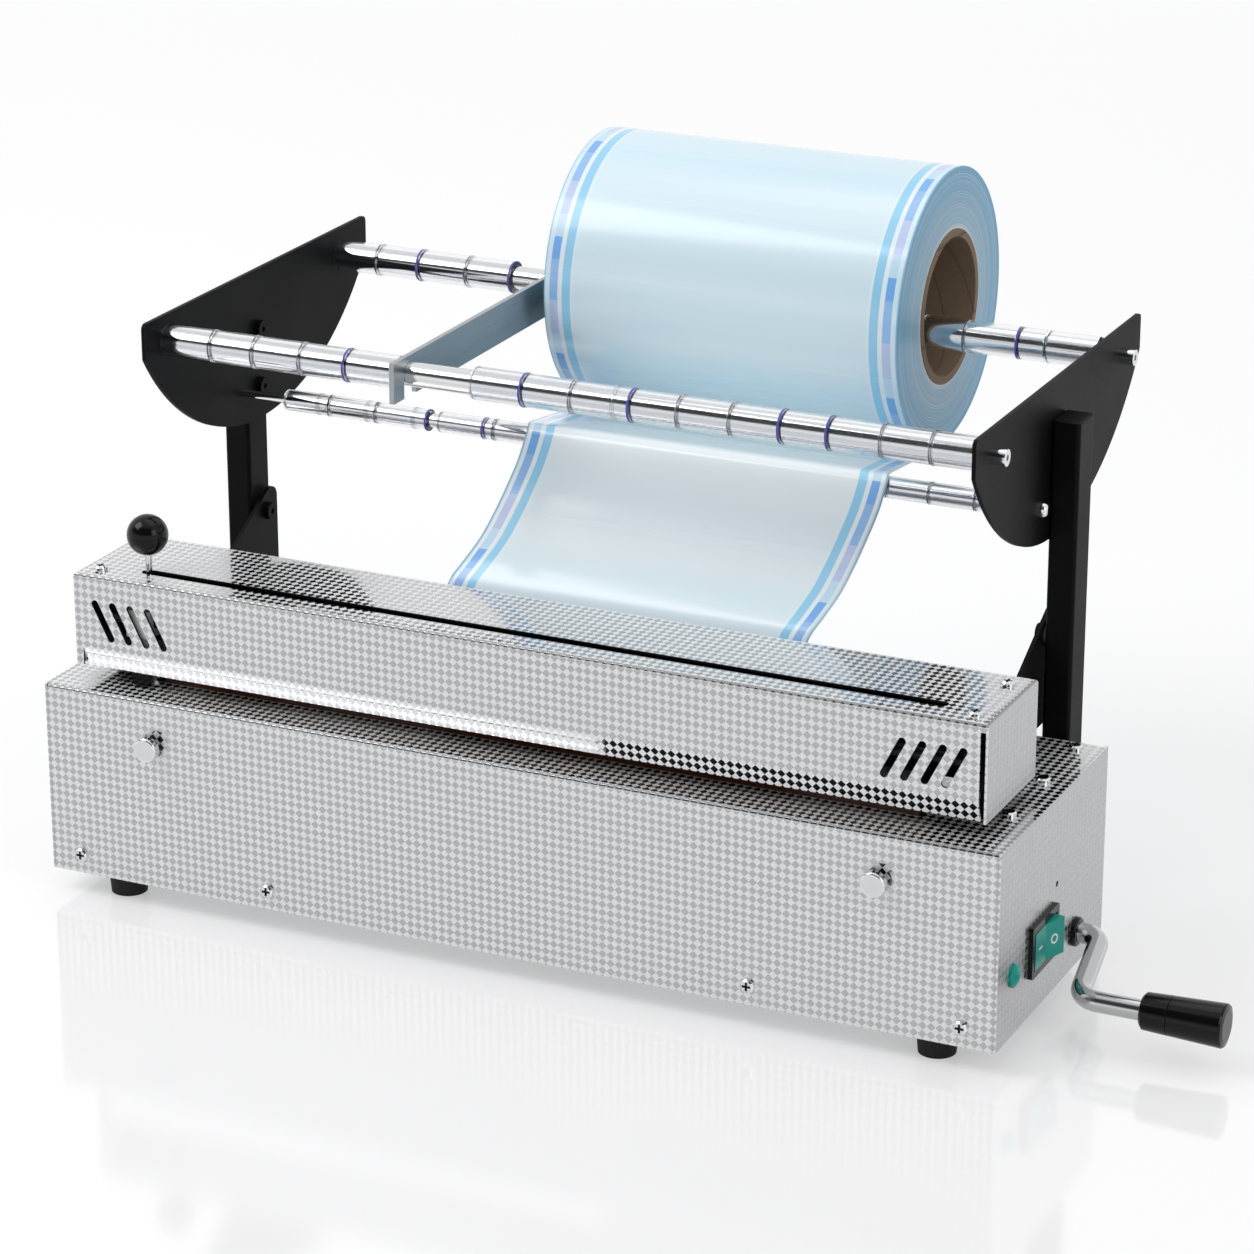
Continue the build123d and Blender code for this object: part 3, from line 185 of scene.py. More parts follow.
def link(tree, value, shader, socket):
    """Feed a value to one of a shader's sockets."""
    tree.links.new(value, shader.inputs[socket])


# Materials


def checker_metal(name, pitch, matt, polished, end_tone, lip_reflection_x=None):
    """Stainless sheet rolled with small squares that stand on their corners; fainter on the ends.

    On the jaw's lower lip a reflection is painted: left of the given x all its squares are painted
    white, right of it the squares between the white ones are painted black, standing in for a
    reflection of the bright floor and the dark room.
    """
    # Black of the painted reflection on the jaw's lip.
    lip_reflection_black = (0.012, 0.012, 0.013)
    made, tree, shader, where = new_material(name)
    facing = add(tree, "SeparateXYZ", Vector=add(tree, "NewGeometry").outputs["Normal"]).outputs
    place = add(tree, "SeparateXYZ", Vector=where).outputs
    sizes = [calc(tree, "ABSOLUTE", facing[axis]) for axis in range(3)]
    most = calc(tree, "MAXIMUM", calc(tree, "MAXIMUM", sizes[0], sizes[1]), sizes[2])
    total = 0.0
    for axis in range(3):
        wave = calc(tree, "COSINE", calc(tree, "MULTIPLY", place[axis], 2 * math.pi / pitch))
        used = calc(tree, "GREATER_THAN", calc(tree, "SUBTRACT", most, sizes[axis]), 0.001)
        total = calc(tree, "ADD", total, calc(tree, "MULTIPLY", wave, used))
    square = spread(tree, total, -0.16, 0.12)
    cloud = noise(tree, where, 14.0, 3.0)
    grain = noise(tree, where, 900.0, 2.0)
    lines = noise(tree, where, 500.0, 3.0, 0.6, (1.0, 1.0, 0.06))
    polished_colour = mix(tree, cloud, tuple(c * 0.9 for c in polished), polished)
    matt_colour = mix(tree, grain, tuple(c * 0.96 for c in matt), matt)
    colour = mix(tree, square, polished_colour, matt_colour)
    end_colour = mix(tree, lines, tuple(c * 0.86 for c in end_tone), end_tone)
    on_end = spread(tree, sizes[0], 0.6, 0.8, 0.0, 0.82)
    # Painted reflection on the downward front faces of the lip: white on the left, black between the
    # white squares on the right.
    if lip_reflection_x is not None:
        down = spread(tree, facing[2], -0.1, -0.2)
        lip = calc(tree, "MULTIPLY", down, spread(tree, facing[1], -0.5, -0.8))
        dark = spread(tree, place[0], lip_reflection_x - 0.003, lip_reflection_x + 0.003)
        lip_reflection_colour = mix(tree, square, mix(tree, dark, matt, lip_reflection_black), matt)
        colour = mix(tree, lip, colour, lip_reflection_colour)
    # Painted shade: the folded edges are painted darker, at half the polished tone.
    bend_shade = spread(tree, most, 0.96, 0.9)
    colour = mix(tree, bend_shade, colour, tuple(c * 0.5 for c in polished))
    link(tree, mix(tree, on_end, colour, end_colour), shader, "Base Color")
    rough = spread(tree, square, 0.0, 1.0, 0.07, 0.42)
    uneven = spread(tree, cloud, 0.3, 0.7, -0.02, 0.03)
    rough = calc(tree, "ADD", rough, uneven)
    to_end = calc(tree, "MULTIPLY", on_end, calc(tree, "SUBTRACT", 0.3, rough))
    link(tree, calc(tree, "ADD", rough, to_end), shader, "Roughness")
    metal = spread(tree, square, 0.0, 1.0, 1.0, 0.55)
    link(tree, calc(tree, "MAXIMUM", metal, on_end), shader, "Metallic")
    raised = calc(tree, "MULTIPLY", square, 0.6)
    height = calc(tree, "ADD", raised, calc(tree, "MULTIPLY", grain, 0.12))
    bump(tree, shader, height, 0.00003, 0.5)
    return made


def brushed_metal(name, colour, rough, stretch, depth=0.00003):
    """Metal with fine lines along one axis."""
    made, tree, shader, where = new_material(name, Metallic=1.0)
    lines = noise(tree, where, 700.0, 3.0, 0.6, stretch)
    patches = noise(tree, where, 20.0, 2.0)
    link(tree, mix(tree, lines, tuple(c * 0.82 for c in colour), colour), shader, "Base Color")
    both = calc(tree, "ADD", calc(tree, "MULTIPLY", lines, 0.7), calc(tree, "MULTIPLY", patches, 0.3))
    link(tree, spread(tree, both, 0.3, 0.7, rough * 0.75, rough * 1.3), shader, "Roughness")
    bump(tree, shader, lines, depth, 0.5)
    return made


def polished_metal(name, colour, rough):
    """Chrome with faint wipe marks."""
    made, tree, shader, where = new_material(name, Metallic=1.0)
    wipes = noise(tree, where, 60.0, 4.0, 0.6, (0.3, 1.0, 1.0))
    link(tree, mix(tree, wipes, tuple(c * 0.94 for c in colour), colour), shader, "Base Color")
    link(tree, spread(tree, wipes, 0.35, 0.7, rough * 0.7, rough * 1.6), shader, "Roughness")
    return made


def painted(name, colour, rough, grain, depth, coat=0.0, shine=0.5):
    """Paint or moulded plastic with a fine texture and slightly uneven gloss."""
    made, tree, shader, where = new_material(
        name, Coat_Weight=coat, Coat_Roughness=0.05, Specular_IOR_Level=shine
    )
    fine = noise(tree, where, grain, 3.0, 0.6)
    patches = noise(tree, where, 18.0, 3.0)
    light = tuple(min(1.0, c * 1.25 + 0.004) for c in colour)
    link(tree, mix(tree, patches, colour, light), shader, "Base Color")
    both = calc(tree, "ADD", calc(tree, "MULTIPLY", fine, 0.5), calc(tree, "MULTIPLY", patches, 0.5))
    link(tree, spread(tree, both, 0.3, 0.7, rough * 0.85, rough * 1.2), shader, "Roughness")
    bump(tree, shader, fine, depth, 0.5)
    return made


def clear_plastic(name, colour, rough):
    """Clear tube plastic with faint drawing lines."""
    made, tree, shader, where = new_material(name, Transmission_Weight=1.0, IOR=1.45)
    lines = noise(tree, where, 90.0, 2.0, 0.5, (0.1, 1.0, 1.0))
    link(tree, mix(tree, lines, tuple(c * 0.97 for c in colour), colour), shader, "Base Color")
    link(tree, spread(tree, lines, 0.3, 0.7, rough * 0.5, rough * 1.5), shader, "Roughness")
    return made


def board(name):
    """Spiral wound brown board."""
    made, tree, shader, where = new_material(name)
    place = add(tree, "SeparateXYZ", Vector=where).outputs
    fibre = noise(tree, where, 420.0, 4.0, 0.65)
    blotch = noise(tree, where, 40.0, 3.0)
    along = calc(tree, "MULTIPLY", place[0], 60.0)
    winding = calc(tree, "ADD", along, calc(tree, "MULTIPLY", place[2], 22.0))
    edge = spread(tree, calc(tree, "FRACT", winding), 0.0, 0.06)
    tone = mix(tree, fibre, (0.17, 0.115, 0.075), (0.33, 0.24, 0.165))
    tone = mix(tree, calc(tree, "MULTIPLY", blotch, 0.5), tone, (0.26, 0.18, 0.115))
    link(tree, mix(tree, edge, (0.12, 0.075, 0.045), tone), shader, "Base Color")
    link(tree, spread(tree, fibre, 0.3, 0.7, 0.75, 0.92), shader, "Roughness")
    bump(tree, shader, fibre, 0.00015, 0.6)
    return made


def woven(name, colour):
    """Coated glass cloth."""
    made, tree, shader, where = new_material(name)
    place = add(tree, "SeparateXYZ", Vector=where).outputs
    across = calc(tree, "SINE", calc(tree, "MULTIPLY", place[0], 7000.0))
    along = calc(tree, "SINE", calc(tree, "MULTIPLY", place[1], 7000.0))
    weave = spread(tree, calc(tree, "MULTIPLY", across, along), -1.0, 1.0)
    link(tree, mix(tree, weave, tuple(c * 0.7 for c in colour), colour), shader, "Base Color")
    link(tree, spread(tree, weave, 0.0, 1.0, 0.35, 0.5), shader, "Roughness")
    bump(tree, shader, weave, 0.00005)
    return made


def tinted_plastic(name, colour, deep):
    """Coloured see-through plastic of a switch or lamp, with cloudy depth."""
    made, tree, shader, where = new_material(name, Transmission_Weight=0.1, Specular_IOR_Level=0.2)
    depth = noise(tree, where, 160.0, 3.0)
    link(tree, mix(tree, depth, deep, colour), shader, "Base Color")
    link(tree, spread(tree, depth, 0.3, 0.7, 0.1, 0.2), shader, "Roughness")
    return made


square_pitch = 0.00425
matt_squares = (0.88, 0.88, 0.89)
polished_squares = (0.52, 0.525, 0.535)
end_panels = (0.5, 0.5, 0.51)
# Where the painted reflection on the jaw's lip turns from white to black.
painted_lip_reflection_x = at(46.0, 0, 0).x

looks = {
    "checker_steel": checker_metal(
        "checker_steel", square_pitch, matt_squares, polished_squares, end_panels
    ),
    "jaw_steel": checker_metal(
        "jaw_steel", square_pitch, matt_squares, polished_squares, end_panels, painted_lip_reflection_x
    ),
    # Nearly black steel, a painted shade: given to inside faces, cut walls, screw recesses and parts
    # seen only through the vents.
    "dark_steel": brushed_metal("dark_steel", (0.06, 0.06, 0.065), 0.45, (0.04, 1.0, 1.0)),
    "plain_steel": brushed_metal("plain_steel", (0.5, 0.51, 0.52), 0.34, (0.04, 1.0, 1.0)),
    "spring_steel": brushed_metal("spring_steel", (0.5, 0.5, 0.52), 0.25, (1.0, 1.0, 1.0)),
    "blade_steel": brushed_metal("blade_steel", (0.68, 0.68, 0.7), 0.2, (1.0, 1.0, 0.05)),
    "aluminium": brushed_metal("brushed_aluminium", (0.42, 0.45, 0.47), 0.32, (1.0, 0.03, 1.0)),
    "chrome": polished_metal("chrome", (0.74, 0.75, 0.76), 0.09),
    # Painted shade: a darker copy of the chrome, so the crank rod looks darker than the other chrome.
    "shaded_crank_chrome": polished_metal("shaded_crank_chrome", (0.5, 0.505, 0.515), 0.12),
    "black_paint": painted("black_paint", (0.003, 0.003, 0.0035), 0.45, 1500.0, 0.00003, 0.0, 0.07),
    "black_plastic": painted("black_plastic", (0.002, 0.002, 0.0025), 0.13, 500.0, 0.00001, 0.02, 0.2),
    "black_rubber": painted("black_rubber", (0.01, 0.01, 0.01), 0.7, 900.0, 0.00008, 0.0, 0.3),
    "white_plastic": painted("white_plastic", (0.78, 0.78, 0.76), 0.35, 700.0, 0.00002),
    "silicone": painted("silicone", (0.2, 0.07, 0.035), 0.5, 600.0, 0.00003),
    "teal_plastic": tinted_plastic("teal_plastic", (0.0, 0.42, 0.34), (0.0, 0.33, 0.27)),
    "clear_plastic": clear_plastic("clear_plastic", (0.95, 0.96, 0.98), 0.05),
    "ptfe_glass_cloth": woven("ptfe_cloth", (0.62, 0.36, 0.2)),
    "cardboard": board("cardboard"),
    "film": painted("film_plain", (0.5, 0.76, 0.93), 0.3, 200.0, 0.00002),
}


def dress(name, look):
    """Give a CAD node one finished material."""
    mesh = nodes[name].data
    mesh.materials.clear()
    mesh.materials.append(looks[look])


for part in frame["record"]["subparts"]:
    dress(part["node"], part["material_slot"])
# Painted shade: the cutter rail and the heater's end, seen only through the vents, get the nearly
# black steel.
dress("cutter_rail", "dark_steel")
dress("cutter_shoe", "black_plastic")
dress("cartridge_heater", "dark_steel")
dress("stud_necks", "black_plastic")
# The crank rod takes the darker chrome copy: painted shade.
dress("crank_rod", "shaded_crank_chrome")


def paint_inside_shade(name):
    """The inner faces of a sheet cover are bare steel, painted nearly black: painted shade for the
    unlit inside.
    """
    mesh = nodes[name].data
    mesh.materials.append(looks["dark_steel"])
    low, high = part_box(name)
    middle = (Vector(low) + Vector(high)) / 2
    half = (Vector(high) - Vector(low)) / 2
    for face in mesh.polygons:
        offset = face.center - middle
        outward = Vector([offset[axis] / half[axis] for axis in range(3)])
        axis = max(range(3), key=lambda k: abs(face.normal[k]))
        if face.normal[axis] * outward[axis] < 0:
            face.material_index = 1


paint_inside_shade("base_cover")


# Film, printed near both edges

film_width = 0.19
marks_per_turn = 7
roll_girth = 0.4398
print_fade = 0.0002


def film_colour(tree, along, edge, plain, pale):
    """A row of marks and a blue band; along and edge, the distance from the near edge, in metres."""
    edge_line = (0.22, 0.58, 0.90)
    faint = (0.55, 0.78, 0.96)
    lilac = (0.52, 0.62, 0.92)
    soft_marks = (0.26, 0.52, 0.92)
    marks = (0.13, 0.42, 0.93)
    band = (0.27, 0.66, 0.94)
    white = (0.85, 0.93, 0.98)
    turn = calc(tree, "FRACT", calc(tree, "MULTIPLY", along, marks_per_turn / roll_girth))
    blocks = faint
    for end, tone in ((0.81, lilac), (0.51, soft_marks), (0.18, marks)):
        blocks = mix(tree, spread(tree, turn, end, end + 0.003, 1.0, 0.0), blocks, tone)
    cloud = noise(tree, add(tree, "TexCoord").outputs["Object"], 1.0, 2.0, 0.5, (0.8, 22.0, 22.0))
    cloud = spread(tree, cloud, 0.35, 0.65)
    colour = mix(tree, cloud, plain, pale)
    stripes = (
        (0.0100, 0.0145, band),
        (0.0150, 0.0156, white),
        (0.0076, 0.0100, white),
        (0.0032, 0.0076, blocks),
    )
    for start, end, tone in stripes:
        inside = calc(
            tree,
            "MULTIPLY",
            spread(tree, edge, start, start + print_fade),
            spread(tree, edge, end, end + print_fade, 1.0, 0.0),
        )
        colour = mix(tree, calc(tree, "MULTIPLY", inside, 0.9), colour, tone)
    near = spread(tree, edge, 0.0007, 0.0011, 0.8, 0.0)
    return mix(tree, near, colour, edge_line)


def film_surface(name, along_from, plain, pale):
    """Glossy laminated film; along_from builds the two coordinates it is printed by."""
    made, tree, shader, where = new_material(
        name, Coat_Weight=0.5, Coat_Roughness=0.12, IOR=1.45
    )
    across, along = along_from(tree, where)
    edge = calc(tree, "MINIMUM", across, calc(tree, "SUBTRACT", film_width, across))
    link(tree, film_colour(tree, along, edge, plain, pale), shader, "Base Color")
    soft = noise(tree, where, 1.0, 1.0, 0.5, (2.0, 60.0, 60.0))
    link(tree, spread(tree, soft, 0.3, 0.7, 0.2, 0.3), shader, "Roughness")
    slack = noise(tree, where, 1.0, 0.0, 0.5, (1.0, 25.0, 25.0))
    fine = noise(tree, where, 1.0, 0.0, 0.5, (3.0, 200.0, 200.0))
    both = calc(tree, "ADD", slack, calc(tree, "MULTIPLY", fine, 0.05))
    bump(tree, shader, both, 0.0012, 0.4)
    return made


roll_low, roll_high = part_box("film_roll")
roll_y = (roll_low[1] + roll_high[1]) / 2
roll_z = (roll_low[2] + roll_high[2]) / 2
roll_radius = (roll_high[2] - roll_low[2]) / 2
core_low, core_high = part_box("roll_core")
core_radius = (core_high[2] - core_low[2]) / 2


def roll_coordinates(tree, where):
    """On the roll: distance from its left end, and round its outside."""
    place = add(tree, "SeparateXYZ", Vector=where).outputs
    across = calc(tree, "SUBTRACT", place[0], roll_low[0])
    dy = calc(tree, "SUBTRACT", place[1], roll_y)
    dz = calc(tree, "SUBTRACT", place[2], roll_z)
    along = calc(tree, "MULTIPLY", calc(tree, "ARCTAN2", dz, dy), roll_radius)
    return across, along


def web_coordinates(tree, where):
    """On the web: distance from its left edge, and along its length, kept in its UV map."""
    length_map = add(tree, "UVMap", uv_map="length").outputs[0]
    place = add(tree, "SeparateXYZ", Vector=length_map).outputs
    return place[0], place[1]


def wound_edge():
    """End of the roll: many thin layers, bluer towards the outside."""
    made, tree, shader, where = new_material("wound_edge")
    place = add(tree, "SeparateXYZ", Vector=where).outputs
    dy = calc(tree, "SUBTRACT", place[1], roll_y)
    dz = calc(tree, "SUBTRACT", place[2], roll_z)
    squares = [calc(tree, "POWER", side, 2.0) for side in (dy, dz)]
    reach = calc(tree, "SQRT", calc(tree, "ADD", *squares))
    ring = add(tree, "CombineXYZ", X=reach).outputs[0]
    fine = noise(tree, ring, 1400.0, 2.0, 0.7)
    wide = noise(tree, ring, 130.0, 2.0, 0.5)
    outward = spread(tree, reach, core_radius, roll_radius)
    tone = mix(tree, outward, (0.38, 0.55, 0.68), (0.13, 0.42, 0.66))
    tone = mix(tree, spread(tree, wide, 0.45, 0.6, 0.0, 0.5), tone, (0.24, 0.52, 0.74))
    tone = mix(tree, spread(tree, fine, 0.52, 0.6, 0.0, 0.75), tone, (0.66, 0.82, 0.92))
    tone = mix(tree, spread(tree, fine, 0.4, 0.32, 0.0, 0.6), tone, (0.10, 0.30, 0.48))
    rim = spread(tree, reach, core_radius + 0.0006, core_radius + 0.0022, 0.8, 0.0)
    link(tree, mix(tree, rim, tone, (0.75, 0.87, 0.95)), shader, "Base Color")
    link(tree, spread(tree, fine, 0.3, 0.7, 0.35, 0.5), shader, "Roughness")
    layers = calc(tree, "ADD", fine, calc(tree, "MULTIPLY", wide, 2.0))
    bump(tree, shader, layers, 0.00012, 0.8)
    return made


looks["film_roll"] = film_surface(
    "film_roll_surface", roll_coordinates, (0.66, 0.86, 0.965), (0.79, 0.92, 0.985)
)
looks["film_web"] = film_surface(
    "film_web_surface", web_coordinates, (0.73, 0.89, 0.97), (0.87, 0.95, 0.985)
)
looks["wound_edge"] = wound_edge()
looks["ring_blue"] = tinted_plastic("ring_blue", (0.15, 0.16, 0.58), (0.09, 0.09, 0.42))
looks["ring_clear"] = clear_plastic("ring_clear", (0.75, 0.77, 0.8), 0.08)


# New pieces


def piece(name, shape, body, materials, crease=15):
    """A mesh object that rides on a CAD body, smooth but for edges sharper than crease degrees."""
    mesh = bpy.data.meshes.new(name)
    bmesh.ops.recalc_face_normals(shape, faces=shape.faces)
    for face in shape.faces:
        face.smooth = True
    for edge in shape.edges:
        edge.smooth = edge.calc_face_angle(0) < math.radians(crease)
    shape.to_mesh(mesh)
    shape.free()
    for look in materials:
        mesh.materials.append(looks[look])
    made = bpy.data.objects.new(name, mesh)
    bpy.context.scene.collection.objects.link(made)
    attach(made, body)
    return made


def turned(shape, profile, centre, axis, steps=64):
    """Turn a closed outline of (along, radius) pairs round an axis through centre."""
    axis = Vector(axis).normalized()
    side = axis.orthogonal().normalized()
    verts = [shape.verts.new(centre + axis * along + side * radius) for along, radius in profile]
    edges = [shape.edges.new(pair) for pair in zip(verts, verts[1:] + verts[:1])]
    bmesh.ops.spin(
        shape,
        geom=verts + edges,
        cent=centre,
        axis=axis,
        angle=2 * math.pi,
        steps=steps,
        use_merge=True,
    )


def make_roll():
    """Wound film with rounded corners and its layered ends slightly uneven."""
    shape = bmesh.new()
    left = roll_low[0]
    right = roll_high[0]
    lip = 0.0004
    uneven = 0.00025
    bore = core_radius + 0.00005
    profile = [(left + lip, roll_radius), (left, roll_radius - lip)]
    random.seed(7)
    rings = 24
    for index in range(1, rings):
        radius = roll_radius - (roll_radius - core_radius) * index / rings
        profile.append((left + random.uniform(0.0, uneven), radius))
    profile += [(left, bore), (right, bore)]
    for index in range(rings - 1, 0, -1):
        radius = roll_radius - (roll_radius - core_radius) * index / rings
        profile.append((right - random.uniform(0.0, uneven), radius))
    profile += [(right, roll_radius - lip), (right - lip, roll_radius)]
    turned(shape, profile, Vector((0, roll_y, roll_z)), (1, 0, 0), 160)
    for face in shape.faces:
        face.material_index = 1 if abs(face.normal.x) > 0.6 else 0
    made = piece("wound_film", shape, "roll", ["film_roll", "wound_edge"])
    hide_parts("film_roll")


make_roll()


def rounded_line(stops, steps):
    """Points along a smooth line through the stops, with so many steps between two of them."""
    points = []
    ends = [stops[0], *stops, stops[-1]]
    for before, first, second, after in zip(ends, ends[1:], ends[2:], ends[3:]):
        for step in range(steps):
            t = step / steps
            point = []
            for p0, p1, p2, p3 in zip(before, first, second, after):
                slope1 = (p2 - p0) / 2
                slope2 = (p3 - p1) / 2
                lean = 3 * (p2 - p1) - 2 * slope1 - slope2
                bend = 2 * (p1 - p2) + slope1 + slope2
                point.append(p1 + t * (slope1 + t * (lean + t * bend)))
            points.append(tuple(point))
    points.append(stops[-1])
    return points


def web_path():
    """The web from roll to gap: depth, height and left edge, in millimetres from the middle."""
    stops = [
        (184.0, 207.0, -71.8),
        (150.0, 213.9, -66.1),
        (115.0, 221.2, -60.2),
        (85.0, 227.5, -55.2),
        (68.0, 231.0, -52.3),
        (63.6, 230.2, -51.4),
        (60.6, 227.0, -51.0),
        (55.0, 215.5, -52.6),
        (48.0, 203.5, -55.4),
        (40.0, 192.8, -57.9),
        (30.0, 181.8, -60.9),
        (20.0, 172.6, -65.0),
        (12.5, 164.5, -69.0),
        (9.0, 154.0, -71.0),
        (8.0, 140.0, -72.0),
        (7.6, 126.0, -72.0),
        (5.4, 117.0, -72.0),
        (0.0, 112.0, -72.0),
        (-8.0, 110.7, -72.0),
        (-20.0, 110.6, -72.0),
    ]
    return rounded_line(stops, 4)


def make_web():
    """The film from the roll over the lower rod and down into the gap, as one thin sheet."""
    path = web_path()
    lengths = [0.0]
    for first, second in zip(path, path[1:]):
        lengths.append(lengths[-1] + math.dist(first[:2], second[:2]) / 1000)
    shape = bmesh.new()
    layer = shape.loops.layers.uv.new("length")
    last = len(path) - 1
    bmesh.ops.create_grid(shape, x_segments=76, y_segments=last, size=0.5)
    half = max(vert.co.x for vert in shape.verts)
    for face in shape.faces:
        for loop in face.loops:
            row = round((1 - loop.vert.co.y / half) / 2 * last)
            loop[layer].uv = (film_width * (loop.vert.co.x / half + 1) / 2, lengths[row])
    for vert in shape.verts:
        y, z, left = path[round((1 - vert.co.y / half) / 2 * last)]
        vert.co = at(left + 1000 * film_width * (vert.co.x / half + 1) / 2, y, z)
    made = piece("pouch_film", shape, "base", ["film_web"])
    thick = made.modifiers.new("thickness", "SOLIDIFY")
    thick.thickness = 0.0002
    thick.offset = 0
    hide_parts("pouch_web")


make_web()


def sleeves(name, group, body, y, z, radius, bore, spans, rings, proud):
    """Clear sleeves with rounded ends, and the thin rings between them, proud of them."""
    half_ring = 0.55
    clear = bmesh.new()
    centre = at(0, y, z)
    centre.x = centre_x
    outer = radius / 1000
    inner = bore / 1000
    soft = 0.00035
    for x0, x1 in spans:
        a = x0 / 1000
        b = x1 / 1000
        profile = [
            (a, inner),
            (b, inner),
            (b, outer - soft),
            (b - soft * 0.3, outer - soft * 0.3),
            (b - soft, outer),
            (a + soft, outer),
            (a + soft * 0.3, outer - soft * 0.3),
            (a, outer - soft),
        ]
        turned(clear, profile, centre, (1, 0, 0), 48)
    made = piece(name, clear, body, ["clear_plastic"])
    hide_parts(group)
    for look in ("ring_blue", "ring_clear"):
        chosen = [x for x, kind in rings if kind == look]
        if not chosen:
            continue
        shape = bmesh.new()
        for x in chosen:
            a = (x - half_ring) / 1000
            b = (x + half_ring) / 1000
            low = outer + 0.00003
            high = outer + proud / 1000
            profile = [
                (a, low),
                (b, low),
                (b, high - 0.0001),
                (b - 0.0002, high),
                (a + 0.0002, high),
                (a, high - 0.0001),
            ]
            turned(shape, profile, centre, (1, 0, 0), 48)
        ring = piece(name + "_" + look, shape, body, [look])


def make_sleeves():
    """Sleeve ends and ring places along each rod, read off the photo; all in millimetres.

    A row gives the piece, the node it replaces, its body, its rod (depth, height, outer radius
    and bore), the runs of sleeve ends, the blue rings, the clear rings, and how far the rings
    stand proud. Along the rod, places count from the middle of the base.
    """
    front = (-3.6, 272.0, 8.0, 6.1)
    rear = (171.6, 270.4, 8.0, 6.1)
    lower = (66.0, 225.0, 5.25, 3.6)
    sleeve_gap = 0.3
    behind_roll = [-60.0 + 26.5 * count for count in range(7)]
    rows = (
        (
            "front_tubes_left",
            "front_sleeves_left",
            "front_left_sleeves",
            front,
            [(-213.9, -186.4, -163.0, -137.1, -112.5, -84.2)],
            [-112.5],
            [-186.4, -163.0, -137.1],
            0.35,
        ),
        (
            "front_tubes_right",
            "front_sleeves_right",
            "front_right_sleeves",
            front,
            [(-45.0, -18.5, 7.1, 37.6, 62.1, 88.4, 113.4, 137.2, 163.2, 187.5, 211.0)],
            [-18.5, 37.6, 113.4, 137.2],
            [7.1, 29.0, 62.1, 88.4, 163.2, 187.5],
            0.35,
        ),
        (
            "rear_tubes_left",
            "rear_sleeves_left",
            "rear_left_sleeves",
            rear,
            [(-215.1, -189.1, -165.0, -137.2, -110.9)],
            [-165.0, -111.8],
            [-189.1, -137.2],
            0.35,
        ),
        (
            "rear_tubes_right",
            "rear_sleeves_right",
            "rear_right_sleeves",
            rear,
            [(*behind_roll, 113.5, 136.1, 163.7, 178.2, 204.8)],
            [163.7],
            [113.5, 136.1, 178.2],
            0.12,
        ),
        (
            "lower_tubes",
            "lower_sleeves",
            "lower_rod_sleeves",
            lower,
            [
                (-187.0, -161.5, -135.3, -106.0),
                (-100.5, -70.0, -44.0, -18.0, 8.0, 34.0, 60.0, 86.0, 112.0, 138.0)
                + (159.4, 182.5, 209.0),
            ],
            [-106.8, -75.5],
            [-168.1, -162.3, -140.9, -135.8, -114.4, -70.0, 159.4, 182.5],
            0.25,
        ),
    )
    for name, group, body, (y, z, radius, bore), runs, blue, pale, proud in rows:
        spans = [(a, b - sleeve_gap) for run in runs for a, b in zip(run, run[1:])]
        rings = [(x, "ring_blue") for x in blue] + [(x, "ring_clear") for x in pale]
        sleeves(name, group, body, y, z, radius, bore, spans, rings, proud)


make_sleeves()


def round_slot(shape, length, width, depth, turn):
    """A round ended cutter in millimetres, long in X and deep in Z before it is turned."""
    radius = width / 2000
    segments = 24
    verts = bmesh.ops.create_cone(
        shape,
        cap_ends=True,
        segments=segments,
        radius1=radius,
        radius2=radius,
        depth=depth / 1000,
    )["verts"]
    half_segment = Matrix.Rotation(math.pi / segments, 3, "Z")
    bmesh.ops.rotate(shape, verts=verts, matrix=half_segment)
    for side in (-1, 1):
        half = [vert for vert in verts if vert.co.x * side > 0]
        bmesh.ops.translate(shape, verts=half, vec=(side * length / 2000, 0, 0))
    bmesh.ops.transform(shape, verts=verts, matrix=turn)


def block(shape, size, turn):
    """A box in millimetres, placed by a matrix."""
    verts = bmesh.ops.create_cube(shape, size=1.0)["verts"]
    bmesh.ops.scale(shape, verts=verts, vec=[s / 1000 for s in size])
    bmesh.ops.transform(shape, verts=verts, matrix=turn)


def stand_in(shape, cut):
    """A loose object for a Boolean; cut gives the second material to its faces."""
    mesh = bpy.data.meshes.new("stand_in")
    for face in shape.faces:
        face.material_index = cut
    shape.to_mesh(mesh)
    shape.free()
    mesh.materials.append(looks["dark_steel"])
    mesh.materials.append(looks["dark_steel"])
    made = bpy.data.objects.new("stand_in", mesh)
    bpy.context.scene.collection.objects.link(made)
    return made


def combined(shape, other, operation, cut=1):
    """The first shape with the other taken out of it or added to it."""
    target = stand_in(shape, 0)
    tool = stand_in(other, cut)
    step = target.modifiers.new("step", "BOOLEAN")
    step.operation = operation
    step.solver = "EXACT"
    step.use_self = True
    step.object = tool
    result = bmesh.new()
    result.from_object(target, bpy.context.evaluated_depsgraph_get())
    for used in (target, tool):
        mesh = used.data
        bpy.data.objects.remove(used)
        bpy.data.meshes.remove(mesh)
    return result


def merged_copy(name):
    """A CAD node's mesh with its triangles joined up."""
    shape = bmesh.new()
    shape.from_mesh(nodes[name].data)
    bmesh.ops.remove_doubles(shape, verts=shape.verts, dist=1e-6)
    return shape


# The jaw cover, in millimetres as measured in the photo

vent_count = 4
vent_pitch = 9.87
first_vent_x = 222.1
vent_rise = 24.9
vent_length = 18.9
vent_width = 3.8
vent_lean = 26.5
slot_length = 414.5
slot_width = 6.4
slot_shift = 2.25
cover_sheet = 1.2
corner_fill = (2.8, cover_sheet, 43.5)
corner_fill_rise = 22.25
cut_depth = 8.0


